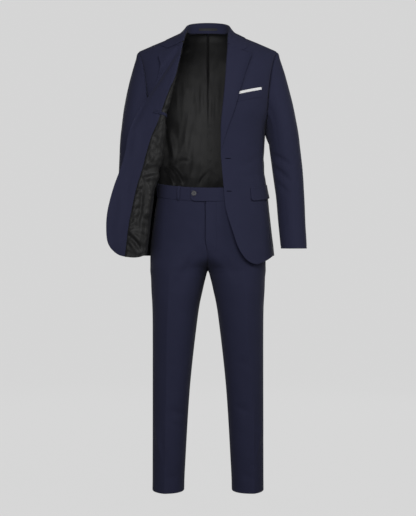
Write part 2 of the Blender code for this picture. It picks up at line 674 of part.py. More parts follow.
# ---------------------------------------------------------------- pockets

def patch(inner, outer, inner_z, outer_z, height, columns=5):
    """A strip on the left front between two x, standing this high above its lower edge."""
    def point(u, v):
        x = inner + (outer - inner) * u
        return on_front(x, inner_z + (outer_z - inner_z) * u + height * v)
    return grid(point, steps(columns), (0, 1))


def round_body(angle, z):
    """A point of the closed body at an angle from the centre front, between hem and chest."""
    half, front, back = (through(BODY[name], level_row(z)) for name in ("half", "front", "back"))
    turn = math.radians(angle)
    depth = front if angle < 90 else back
    y = MID_Y - depth * math.copysign(abs(math.cos(turn)) ** (2 / ROUND), math.cos(turn))
    return np.array((half * math.sin(turn) ** (2 / ROUND), y, z))


def flap_top(angle):
    return FLAP_TOP + FLAP_RISE * min((angle - FLAP_ANGLES[0]) / (90 - FLAP_ANGLES[0]), 1)


def pockets():
    inner, outer, inner_z, outer_z, height = WELT
    welt = patch(inner, outer, inner_z - height, outer_z - height, height)
    cloth("breast_welt", moved(welt, OVER))
    square = patch(inner + SQUARE_INSET, outer - SQUARE_INSET, inner_z + 2 * SEAM, outer_z + 2 * SEAM,
                   SQUARE_HEIGHT)
    cloth("pocket_square", moved(square, OVER), "linen", LINING)

    def left(angle, depth):
        return round_body(angle, flap_top(angle) - depth)

    def right(s, depth):
        return between_rows(open_front_row, level_row(FLAP_TOP - depth), s) * (-1, 1, 1)

    low, middle = JET_HEIGHT + FLAP_DEPTH, JET_HEIGHT + FLAP_DEPTH / 2
    for name, point, places in (("left", left, steps(8, *FLAP_ANGLES)),
                                ("right", right, steps(6, *FLAP_SHARES))):
        jet = grid(point, places, (JET_HEIGHT - 2 * SEAM, 0))
        cloth(f"jet_{name}", moved(jet, OVER))
        flap = grid(point, places, (low, middle, JET_HEIGHT + SEAM))
        flap[0] = moved(flap, FLAP_FLARE)[0]
        cloth(f"flap_{name}", moved(flap, OVER))

    def inside(u, v):
        start, start_row, stop, stop_row, height = INSIDE_WELT
        row = start_row + (stop_row - start_row) * u + height * v
        return between_rows(open_front_row, row, start + (stop - start) * u) * (-1, 1, 1)
    cloth("inside_pocket_welt", moved(grid(inside, steps(7), (0, 1)), -BEHIND - OVER))


# ---------------------------------------------------------------- trousers

def leg_section(q):
    return [through(LEG[name], q) for name in LEG_COLUMNS[1:5]]


def leg_angle(q):
    """Angle at which a section meets the centre seam; 0 where the leg stands clear."""
    centre, _, half, _ = leg_section(q)
    clear = SEAM / 2 + CLOTH / 2 * min(centre / half, 1)
    ratio = (centre - clear) / half
    return math.acos(min(max(ratio, 0), 1) ** (LEG_ROUND / 2)) if ratio < 1 else 0.0


def waist_rise(y):
    return WAIST_SLOPE * y - WAIST_BOW * y * y


def leg_point(q, angle):
    """Round a leg: 0 is the inside, 90 degrees the front, 180 the outside."""
    centre_x, centre_y, half, depth = leg_section(q)
    side, front = math.cos(angle), math.sin(angle)
    x = centre_x - half * math.copysign(abs(side) ** (2 / LEG_ROUND), side)
    y = centre_y - depth * math.copysign(abs(front) ** (2 / LEG_ROUND), front)
    return np.array((x, y, through(LEG["level"], q) + waist_rise(y) * through(LEG["tilt"], q)))


def legs():
    rows = [float(q) for q in range(BAND_ROW + 1)]
    def front(s, q):
        start = leg_angle(q)
        return leg_point(q, start + (math.pi - start) * s)
    def back(s, q):
        stop = 2 * math.pi - leg_angle(q)
        return leg_point(q, math.pi + (stop - math.pi) * s)
    for name, surface in (("front", front), ("back", back)):
        panel = trimmed(grid(surface, steps(7), rows))
        cloth(f"trouser_{name}_left", panel)
        cloth(f"trouser_{name}_right", panel * (-1, 1, 1))


def band_point(angle, height):
    """Round the waistband: angle from the centre front, towards the left side."""
    q = BAND_ROW + height
    _, centre_y, half, depth = leg_section(q)
    side, front = math.sin(angle), math.cos(angle)
    x = half * math.copysign(abs(side) ** (2 / LEG_ROUND), side)
    y = centre_y - depth * math.copysign(abs(front) ** (2 / LEG_ROUND), front)
    return np.array((x, y, through(LEG["level"], q) + waist_rise(y)))


def waist_angle(x):
    half = LEG["half_width"][-1]
    return math.copysign(math.asin((abs(x) / half) ** (LEG_ROUND / 2)), x)


def waistband():
    end = 2 * math.pi
    right = grid(band_point, steps(14, end / 2, end - 0.002), (0.01, 1))
    cloth("waistband_right", trimmed(right, "l"))
    tab = waist_angle(TAB_END)
    angles = steps(4, tab, 0) + [TAB_SLOPE] + steps(14, 2 * TAB_SLOPE, end / 2)
    left = grid(band_point, angles, (0.01, 1))
    lifted = moved(left, OVER)
    left[:, :5] = lifted[:, :5]
    left[:, 5] = (left[:, 5] + lifted[:, 5]) / 2
    cloth("waistband_left", trimmed(left, "r"))

    place = band_point(waist_angle(TAB_BUTTON[0]), 0.5)
    away = np.array((place[0] * 0.4, place[1], 0)) / np.linalg.norm(place[:2] * (0.4, 1))
    button("button_waist", place + away * (OVER + CLOTH / 2 + SEAM), away, TAB_BUTTON[1])


def fly():
    def point(w, t):
        width = FLY_WIDTH * math.sqrt(max(1 - max(1 - 4 * t, 0) ** 2, 0.01))
        x = FLY_EDGE + width * w
        def upward(q):
            centre_x, centre_y, half, depth = leg_section(q)
            y = centre_y - depth * oval((max(abs(x), 0.001) - centre_x) / half, LEG_ROUND)
            return np.array((x, y, through(LEG["level"], q) + waist_rise(y) * through(LEG["tilt"], q)))
        return at_height(upward, FLY_TOP - FLY_LENGTH * (1 - t), BAND_ROW)
    cloth("fly", moved(grid(point, steps(4), FLY_STEPS), OVER))


def belt_loops():
    half = LOOP_WIDTH / 2 / LEG["half_width"][-1]
    stand = np.array(LOOP_STAND)[:, None, None]
    for number, degrees in enumerate(LOOP_ANGLES, 1):
        angle = math.radians(degrees)
        points = grid(band_point, (angle - half, angle + half), LOOP_STEPS)
        cloth(f"belt_loop_{number}", points + normals(points)[0] * (CLOTH + SEAM + stand))


def main():
    body_panels()
    opened_front()
    lapel()
    collar()
    sleeves()
    pockets()
    legs()
    waistband()
    fly()
    belt_loops()


for old in list(bpy.data.objects):
    bpy.data.objects.remove(old, do_unlink=True)
SUIT = new_collection("two_piece_suit")
main()
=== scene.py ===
"""Looks of a two-piece suit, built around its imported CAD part.  Metres, +Z up, the front faces -Y,
and the origin is the middle of the jacket's neck opening.  The right front is turned open."""

import math

import bmesh
import bpy
import numpy as np
from mathutils import Matrix, Vector


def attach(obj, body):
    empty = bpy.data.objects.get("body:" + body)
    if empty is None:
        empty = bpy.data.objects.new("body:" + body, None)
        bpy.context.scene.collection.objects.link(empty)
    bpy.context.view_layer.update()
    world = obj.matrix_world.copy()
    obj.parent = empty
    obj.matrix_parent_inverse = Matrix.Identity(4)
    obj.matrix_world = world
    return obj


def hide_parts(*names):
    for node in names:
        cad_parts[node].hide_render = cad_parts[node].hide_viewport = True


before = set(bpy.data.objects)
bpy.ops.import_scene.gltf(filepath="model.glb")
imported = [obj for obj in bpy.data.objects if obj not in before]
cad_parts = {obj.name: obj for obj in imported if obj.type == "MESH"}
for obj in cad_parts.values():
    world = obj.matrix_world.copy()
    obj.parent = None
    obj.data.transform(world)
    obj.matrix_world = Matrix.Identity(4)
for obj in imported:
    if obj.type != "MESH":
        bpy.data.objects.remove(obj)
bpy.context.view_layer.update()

SEAM = 0.0003             # gap between two pieces at a seam

# Jacket
MID_Y = 0.008             # the plane of the shoulder seams
ROUND = 2.3               # how square the body's sections are (2 is an ellipse)
NECK_HALF = 0.072         # half the width of the neck opening
NECK_FALL = 0.0106        # fall of the back neckline to the shoulder seam
SHOULDER_SLOPE = 0.4156   # fall of the shoulder seam for each metre outward
HEM_RISE = 0.030          # rise of the hem from the fronts to the side seams
HEM_FLAT = 0.130          # the rise starts this far out
HEM_RUN = 0.080           # and takes this long
OPEN_LIFT = 0.035         # rise of the right hem where the front is turned open
OPEN_CORNER = 0.022       # rounding of the opened front's free corner
BEHIND_LIFT = 0.009       # behind the fold its hem is this much higher
BEHIND_REACH = 0.05       # and so is the side panel's, this far round
BEHIND_RISE = 0.10        # the lift fades out over this height
OPEN_SAG = 0.012          # sag of that hem between the fold and the front edge
BUTTON_DIAMETER = 0.020
BUTTON_HEIGHTS = (-0.420, -0.525)
BUTTON_PLACE = 0.945      # their place between the body seam (0) and the front edge (1)
BUTTON_THICKNESS = 0.0032
BUTTON_PROFILE = ((0, 0), (0.85, 0), (1, 0.35), (0.95, 1), (0.78, 1), (0.68, 0.7), (0, 0.7))

# Tables give lengths in millimetres.  Rows of the jacket's body, from the hem to the shoulder seam:
BODY_COLUMNS = ("level", "drop", "lift", "half", "front", "back", "neck", "edge", "lapel",
                "front_span", "back_span")
BODY_ROWS = (
    (-753, 0, 1, 215, 148, 134, 0, 134, 0, 0.94, 0.9),
    (-705, 0, 0.62, 211, 143, 131, 0, 99.5, 0, 0.94, 0.9),
    (-640, 0, 0.25, 205, 135, 126, 0, 75.8, 0, 0.94, 0.9),
    (-575, 0, 0, 198, 127, 119, 0, 56.5, 0, 0.94, 0.9),
    (-510, 0, 0, 191.5, 122, 110, 0, 49.7, 0, 0.94, 0.9),
    (-450, 0, 0, 183.5, 118, 104, 0, 44.6, 0, 0.94, 0.9),
    (-400, 0, 0, 182, 117, 103, 0, 41, 0, 0.94, 0.9),
    (-350, 0, 0, 184, 120, 107, 0, 41.3, 11.4, 0.94, 0.9),
    (-305, 0, 0, 188, 126, 114, 0, 43, 24.3, 0.94, 0.9),
    (-260, 0, 0, 202, 130, 121, 0, 47.4, 34.8, 0.94, 0.9),
    (-210, 0.03, 0, 210.5, 129, 125, 0, 52.5, 43.4, 0.92, 0.905),
    (-158, 0.1, 0, 215.5, 121, 124, 0, 56.7, 53.8, 0.925, 0.91),
    (-108, 0.24, 0, 219, 106, 118, 0, 60.1, 64.8, 0.94, 0.922),
    (-65, 0.44, 0, 222.5, 86, 104, 4, 63.3, 71.8, 0.956, 0.938),
    (-30, 0.68, 0, 226, 64, 80, 14, 65.2, 45, 0.966, 0.953),
    (-4, 0.88, 0, 228.5, 42, 55, 27, 66.8, 33, 0.974, 0.968),
    (10, 0.97, 0, 229.5, 20, 30, 42, 69, 25, 0.979, 0.976),
    (14.6, 1, 0, 230, 0, 0, 60, 72, 23, 0.983, 0.983),
)
TOP = len(BODY_ROWS) - 1
ARM_ROW = 9               # the armhole starts here at the two side seams
UNDERARM_ROW = 8.0        # and here half way between them
BREAK_ROW = 6.3           # where the lapel starts
BREAK_WIDTH = 0.003       # the lapel's width there
GORGE_ROW = 13.46         # where the gorge seam meets the roll line
TIP_ROW = 13              # the lapel's point

# The right front on the same rows: the fold where it turns open, then its free front edge
OPEN_COLUMNS = ("fold_x", "fold_y", "turn", "edge_x", "edge_y", "edge_z", "facing")
OPEN_ROWS = (
    (198, -140, 90, 293.7, -132, -715.6, 0.85),
    (194, -138, 90, 313.5, -133, -680, 0.8),
    (190, -134, 90, 317.8, -132, -630, 0.78),
    (182, -130, 90, 313, -130, -578, 0.768),
    (171, -126, 90, 295.5, -127, -510, 0.765),
    (154, -122, 90, 274, -122, -450, 0.768),
    (146, -124, 90, 259.5, -119, -400, 0.76),
    (140.5, -127, 90, 251.2, -116, -350, 0.728),
    (135.5, -130, 90, 238, -112, -305, 0.675),
    (128.5, -128, 82, 215.5, -106, -260, 0.655),
    (118, -123, 70, 185.5, -100, -210, 0.64),
    (106.5, -114, 56, 161.8, -97, -160, 0.55),
    (95.8, -100, 42, 150, -89, -120, 0.545),
    (87.5, -80, 30, 152.7, -62, -74.5, 0.545),
    (81.5, -56, 24, 81.5, -56, -40, 0.545),
    (77, -33, 14, 77, -33, -15.4, 0.545),
    (74, -11, 5, 74, -11, -1, 0.545),
    (72, 8, 0, 72, 8, 4, 0.545),
)
LAPEL_END_ROW = 14        # the opened lapel closes at the gorge seam here
SEAM_SHARE = 0.6          # share of this front's columns that lie behind the lining
ROLL_TIGHT = 0.045        # how far the cloth runs on before it turns: at the neck
ROLL_SOFT = 0.080         # and lower down

# Collar stations from the centre back to the notch.  The fall's edge lies on the body at a row and
# an x; rows past TOP run down the back.  Hug is how closely the fall follows the body to its edge.
COLLAR_COLUMNS = ("seam_x", "seam_y", "seam_z", "fold_x", "fold_y", "fold_z", "edge_x",
                  "fold_row", "edge_row", "hug")
COLLAR_PLAIN = ("fold_row", "edge_row", "hug")
COLLAR_BACK = (
    (0, 66.5, 16.3, 0, 79, 49.6, 0, 17, 18.6, 0),
    (30, 61, 15.2, 32, 72.5, 47, 40, 17, 18.55, 0),
    (56, 44, 11.5, 58.5, 53, 39.2, 78, 17, 18.4, 0.1),
    (69, 12, 7, 70, 19, 25, 105, 17, 17.4, 0.5),
)
COLLAR_LEFT = (
    (65.5, -20, -5, 69, -15, 7, 122, 15.7, 15.6, 0.9),
    (63, -44, -26.5, 66.5, -46.5, -17, 127.2, 14.6, 13.9, 1),
    (62.7, -60, -46, 65.5, -67.5, -46, 106.8, 13.52, 13.22, 1),
)
COLLAR_RIGHT = (
    (70, -18, -2, 74.5, -15, 6, 133, 15.9, 15.9, 0.9),
    (74.5, -37, -18, 78, -38, -12, 150, 15, 14.95, 1),
    (78, -50, -33, 81, -57, -34, 127.8, 14.05, 13.75, 1),
)
COLLAR_ROLL = 0.0030      # radius of the fold
TAPE_REACH = 1.03         # hanger tape: how many stations to each side of the centre back
TAPE_EDGES = (0.28, 0.52) # its lower and upper edge, as shares of the stand's height

# Sleeves below the upper arm: centre, half-width and half-depth; the right one hangs closer
SLEEVE_COLUMNS = ("level", "left_x", "right_x", "left_y", "right_y", "half_width", "half_depth")
SLEEVE_ROWS = (
    (-380, 250, 237, -2, 4, 49.5, 62),
    (-460, 259, 242, -7, 3, 48, 58),
    (-540, 266, 249, -18, -4, 45, 53),
    (-620, 270, 256, -33, -14, 43, 49),
    (-700, 275, 262, -52, -26, 41, 46.5),
)
CAP_OUT = (0.32, 0.25)    # how far its cap leaves outward: at the crown, and more at front and back
CAP_FORWARD = 0.25        # forward or backward
CAP_DOWN = 0.9            # and downward
CAP_RINGS = 4             # from the armhole to the first row of the table
SLEEVE_SEAM = 0.66        # seams between top and under sleeve, from the crown (0) to the underarm (1)

# Trousers: one leg's section at each level; above the fork it is cut off at the centre seam
LEG_COLUMNS = ("level", "centre_x", "centre_y", "half_width", "half_depth", "tilt")
LEG_ROWS = (
    (-1481, 128.5, 0, 50.5, 66.5, 0),
    (-1410, 127, 1, 51.7, 67, 0),
    (-1150, 119, 4, 59.8, 73, 0),
    (-920, 106.5, 5, 73, 92.5, 0),
    (-835, 100.5, 6, 83, 105, 0),
    (-795, 96.5, 7, 88.5, 110, 0),
    (-773.5, 94.2, 8, 93, 112, 0),
    (-755, 86, 8, 101, 114, 0),
    (-725, 52, 9, 135, 117, 0),
    (-680, 0, 9, 185, 119, 0),
    (-610, 0, 3, 176, 114, 0.4),
    (-530, 0, -3, 164, 106, 1),
    (-491, 0, -4, 160, 104, 1),
)
BAND_ROW = 11             # the waistband is sewn on here
LEG_ROUND = 2.15
WAIST_SLOPE = 0.063       # rise of the waist for each metre towards the back
WAIST_BOW = 1.13          # and its fall for each square metre, to the front and to the back
TAB_END = -0.053          # the waistband's tab ends here, past the centre front
TAB_BUTTON = (-0.0425, 0.0165)    # its button: place and diameter
TAB_SLOPE = 0.09          # the band comes back from the tab to its own line over this angle
FLY_EDGE = 0.0065         # its edge lies this far past the centre seam
FLY_TOP = -0.5515
FLY_WIDTH = 0.040
FLY_LENGTH = 0.170
LOOP_WIDTH = 0.010
LOOP_STEPS = (-0.06, 0.1, 0.5, 0.9, 1.06)         # up the band, past its edges
LOOP_STAND = (0, 0.00432, 0.0054, 0.00432, 0)     # how far a loop stands off it there
LOOP_ANGLES = (33, 78, 140, 180, 220, 282, 327)    # round the waist from the centre front

# Pockets
WELT = (0.1040, 0.1720, -0.2135, -0.1960, 0.022)   # inner and outer x, z at both, height
SQUARE_HEIGHT = 0.0088
SQUARE_INSET = 0.002
FLAP_ANGLES = (41.6, 104) # ends of the left flap, round the body from the centre front
FLAP_SHARES = (0.03, 0.43)        # ends of the right one, between body seam and front edge
FLAP_TOP = -0.5080
FLAP_RISE = 0.0145        # rise of the left pocket from its front end to the side
JET_HEIGHT = 0.006
INSIDE_WELT = (0.42, 8.26, 0.77, 8.62, 0.18)      # lower end: place and row; upper end; height in rows

# Surfaces
FINE = 0.004              # usual step between points
NEARBY = 0.004            # a short way along a surface, which gives its slope
NEAR = (0, 0.0006, 0.0014, 0.0024, 0.0040)       # steps next to a seam or a crease
DIP = 0.0011              # depth of the furrow along a seam
DIP_REACH = 0.0046        # it starts this far from the seam
ARM_DIP = 0.0044          # the same round the armhole
ARM_REACH = 0.0064
SIDES = ((1, "left"), (-1, "right"))
SKIN = 0.0012             # wall of the cloth that shows
SATIN = 0.0006            # and of the lining
LEAST_CUT = 0.010         # a sheet is declared at least this wide
WIDTHS = {                # of the panels, roughly; their columns are spaced by these
    "front": 0.17, "side": 0.085, "back": 0.215, "lined": 0.26, "faced": 0.10,
    "top_sleeve": 0.24, "under_sleeve": 0.12, "leg_inside": 0.115, "leg": 0.095,
}
RIM_TURNS = tuple(math.radians(turn) for turn in (45, 90, 135))      # steps round a rounded rim

# Cloth
FACED_COLUMNS = 12        # columns of the left front that are faced with wool on the inside
HEM_CORNER = 0.030        # rounding of the left front's lower corner
LINING_GAP = 0.0024       # a lining's sewn sides lie this far inside the cloth
LINING_SLACK = 0.0080     # and it hangs this much further in between them
LINING_EASE = 0.040       # past this distance from them
LINING_LEAST = 0.8        # its folds come back towards the cloth by no more than this share
PLEAT_REACH = 0.0036      # half the width of the back lining's centre pleat
PLEAT_LEVELS = (-0.30, -0.24, -0.15, -0.12, 0.02)
PLEAT_DEPTHS = (0, 0.0009, 0.0016, 0.0056, 0.0056)
FACING_GAP = 0.0013       # the facing lies this far behind the opened front
TURN_SHARES = (0.50, 0.56)        # across the opened front: here the facing's folds take over,
BEHIND_SHARES = (0.42, 0.50)      # what lies behind the fold ends
LOOSE_SHARES = (0.36, 0.46)       # and the lining starts to hang loose
LINING_RISE = 0.0036      # the front lining rises over this distance from its seam
LINING_FULL = 0.0050      # the front lining stands off by this much away from its seams
SEAM_ROLL = (0.0014, 0.009, 0.007)      # and swells beside the facing: height, place, width
SEAM_PUCKER = (0.0050, 7.0)             # puckers there: height, and how close together
SEAM_LEVELS = (-0.74, -0.68, -0.64, -0.50, -0.44, 0.0)
SEAM_SWELL = (0.4, 0.7, 1.0, 1.0, 0.5, 0.2)      # share of both at these levels
LAPEL_STEPS = (90, 24)
LAPEL_ROLL = 0.0021       # radius of the lapel's roll
LAPEL_LIE = 0.0026        # it lies this far off the front
LAPEL_SETTLE = 0.010      # and comes down to that over this distance
LAPEL_SPRING = 0.0085     # its outer edge lifts by this much, and less towards the button
COLLAR_STEPS = 150
COLLAR_LIE = (0.0030, 0.0030, 0.0026, 0.0018, 0.0014, 0.0018, 0.0023)   # off the body, by station
COLLAR_EASE = 0.0006
COLLAR_FALL = (0.35, 0.68)        # two places down the fall that follow the body
COLLAR_STEP = 0.003
COLLAR_SEWN = (0.0040, 0.0040, 0.0042, 0.0025, 0, 0, 0)      # the stand runs on down, by station
GORGE_LIFT = 0.035        # the lapel runs on up under the collar's end, in rows
TAPE_LIFT = 0.0014
TAPE_GRID = (5, 40)
ARMHOLE_STEPS = (97, 33)  # down the shoulder's side, and round under the arm
SLEEVE_GIRTH = 0.34
SLEEVE_DIP = 0.0004       # depth of the furrow along the sleeve's seams
CUFF_NEAR = (0, 0.0015, 0.0030, 0.0042, 0.0050, 0.0060, 0.0070, 0.0080, 0.0095, 0.012)
ROPE = 0.0014             # fullness of the sleeve's head
ROPE_PLACE = 0.011
ROPE_WIDTH = 0.008
SLEEVE_TUCK = 0.0044      # the sleeve dives under the body's edge
SLEEVE_TURNING = 0.009    # and its seam turning lies inside the body, this deep
TURNING_SPREAD = 0.006    # its edge lies this far under the body's
TURNING_FALL = 0.05       # the turning falls by this much on its way to the middle of the body
CUFF_LINE = (0.0060, 0.0007, 0.0012)    # the hem's furrow: height above it, depth, half-width
WELT_LIFT = 0.0010
WELT_GRID = (24, 10)      # columns and rows
SQUARE_GRID = (30, 8)
INSIDE_GRID = (24, 17)
FLAP_GRID = (40, 16)
JET_ROWS = 5
WELT_CLEAR = 0.0012       # welt and pocket square start this far from the lapel's edge
SQUARE_LIFT = 0.0009
SQUARE_CORNER = 0.003
SQUARE_TUCK = 0.004       # depth of the square that is in the pocket
WELT_PLACE = (-0.153, -0.284)     # the lining lies flat round the inside pocket: middle, reach
WELT_FLAT = (0.018, 0.045)
INSIDE_LIFT = 0.0046      # the inside pocket's two lips: how far they stand off the front
INSIDE_LIP = 0.0018       # and their height above the furrows beside them
JET_LIFT = 0.0016
JET_CROWN = 0.0007
FLAP_CORNER = 0.007
FLAP_LIFT = 0.0021
FLAP_STAND = 0.0034       # its lower edge stands off by this much more
FLAP_HANG = 0.0360        # depth of the flap that shows
LEG_CLEAR = 0.0002
FORK = -0.772             # height of the fork
CREASE_COLUMNS = ("level", "right", "left", "back")
CREASES = (               # how far out the pressed creases run: two in front, and both behind
    (-1481, 137.5, 144, 132),
    (-1330, 135.2, 143, 129),
    (-1220, 133, 142, 126),
    (-1146, 131, 134, 124),
    (-1070, 130, 129, 120),
    (-980, 128, 125, 116),
    (-840, 123.5, 121, 108),
    (-600, 118, 116, 95),
    (-400, 115, 113, 90),
)
CREASE_TOPS = (-0.95, -0.76)      # above these levels the crease fades out
CREASE_HEIGHT = 0.0090
CREASE_REACH = 0.026
FOLDS_CLEAR = (0.035, 0.02)       # folds fade out this near the outer and the inner seams
BAND_FURROW = 0.0009      # depth of the furrow under the waistband
BAND_UNDER = -0.02        # the band starts below its seam, in rows
BAND_ROWS = 19
BAND_COLUMNS = {"right": 110, "left": 115, "tab": 24}
BAND_SHORT = 0.002        # the right half ends this far from the centre front, as an angle
BAND_LIFT = 0.0006
BAND_WALL = 0.0022
TAB_LIFT = 0.0048
TAB_ROUND = 0.013
FLY_LIFT = 0.0030
FLY_SINK = -0.0010
FLY_GROOVE = (0.0046, 0.0014)     # the groove beside its edge: depth and half-width
GROOVE_LEVELS = (-0.74, -0.70)    # it starts between these levels
FLY_GRID = (20, 60)
FLY_ROUND = 0.25          # share of its length that comes in to a round lower end
FLY_FLAT = ((0.35, 1.0), (0.04, 0.30))    # it comes down to the leg here, across and up it
FLY_NEAR = (0, 0.0006, 0.0014, 0.0024, 0.0034, 0.0044, 0.0054, 0.0064, 0.0074, 0.0084, 0.0096, 0.012)
FLY_TURN = 0.050          # its edge comes in to the centre seam over this height
LOOP_GRID = (7, 24)
LOOP_CROWN = 0.0010
LOOP_FRONT = 0.5          # cosine of the angle past which a loop lies flatter,
LOOP_FLAT = 0.5           # by this share
LOOP_SHORT = 0.92         # those at the back end below the band's edge

# Buttons and stitches
BUTTON_TURNS = 48
HOLE_TURNS = 16
HOLE_OFFSET = 0.085       # a button's holes: distance from its middle along x and y, and radius,
HOLE_RADIUS = 0.042       # as shares of its diameter
HOLE_SIGNS = ((1, 1), (1, -1), (-1, -1), (-1, 1))
THREAD = 0.0004           # radius
THREAD_PATH = ((1, -0.0012), (1, 0), (0.75, THREAD), (0, 1.6 * THREAD),      # across two holes
               (-0.75, THREAD), (-1, 0), (-1, -0.0012))
HOLE_HALF = 0.0012        # half the width of a buttonhole
HOLE_STEPS = (48, 12)     # points round it and along its slit
SLIT_ENDS = (0.04, 0.96)  # as shares of the buttonhole's length
SLIT = 0.00084            # half the width of the slit's near-black tube of painted shade
BUTTONHOLES = (((0.0534, -0.4169), (0.0723, -0.4169)), ((0.0581, -0.5206), (0.0754, -0.5206)))
TAB_HOLE = ((-0.0490, -0.5262), (-0.0300, -0.5255))
STITCH = 0.0024
STITCH_GAP = 0.0012
STITCH_PATH = (-0.8, 0.5, 0.5, -0.8)    # its height over the cloth, in thread radii
STITCH_THREAD = 0.8       # and its own radius
FLY_STITCH = 0.80         # the fly's line of stitches, as a share of its width
FLY_STITCH_ENDS = (4, 2)  # it stops this many rows before the top and the bottom

# Studio
FLOOR = -1.4835
FLOOR_TURNS = 64
FLOOR_RADIUS = 7.0
FLOOR_CURVE = 2.5         # radius of the curve between floor and wall
WALL_HEIGHT = 8.0
PAPER_SHADE = 0.02
PAPER_GLOW = 0.665
WORLD = 0.09
VIEW_DISTANCE = 3.5
VIEW_HEIGHT = 1.677       # height of the picture at the origin
VIEW_LEVEL = -0.731
LIGHTS = (                # name, place, target, width, height, power
    ("key", (0.16, -2.39, 0.65), (0.0, 0.0, -0.6), 1.2, 1.2, 36),
    ("low", (-0.90, -2.22, -0.85), (0.0, 0.0, -0.6), 1.2, 0.9, 14),
    ("side", (2.26, -0.82, 0.1), (0.0, 0.0, -0.6), 1.2, 1.2, 14),
    ("back_key", (-0.9, 2.4, 0.35), (0.0, 0.0, -0.5), 1.4, 1.4, 28),
    ("back_fill", (1.2, 2.3, -0.2), (0.0, 0.0, -0.6), 1.4, 1.4, 17),
)

# Folds
FOLD_PARTS = 12
WAVES = ((7.3, 2.1), (3.1, 9.7), (12.7, -5.3), (-4.9, 6.1), (17.0, 11.0))      # per metre
CRUMPLE_WAVES = ((31.0, 12.0), (-14.0, 27.0), (9.0, -36.0), (38.0, -19.0))       # per metre
CRUMPLE_MIDDLE = 0.6      # the crumpled height that counts as level
CRUMPLES = {"back_lining": (0.0014, 0.30), "facing": (0.0012, 0.5)}      # height, and how drawn out
LINING_CRUMPLE = (0.0052, 12)     # the front lining's: height and seed
CRUMPLE_LEVELS = (-0.45, -0.34, -0.22)
CRUMPLE_SHARES = (1.0, 0.55, 0.0)
RIPPLES = {               # seed and height
    "front": (1, 0.0004), "side": (2, 0.0006), "back": (3, 0.0007), "back_lining": (4, 0.0008),
    "facing": (6, 0.0005), "front_lining": (7, 0.0008),
    "sleeve_left": (8, 0.0006), "sleeve_right": (9, 0.0006), "trouser_front": (10, 0.0007),
    "trouser_back": (11, 0.0008), "waistband": (12, 0.0003),
}
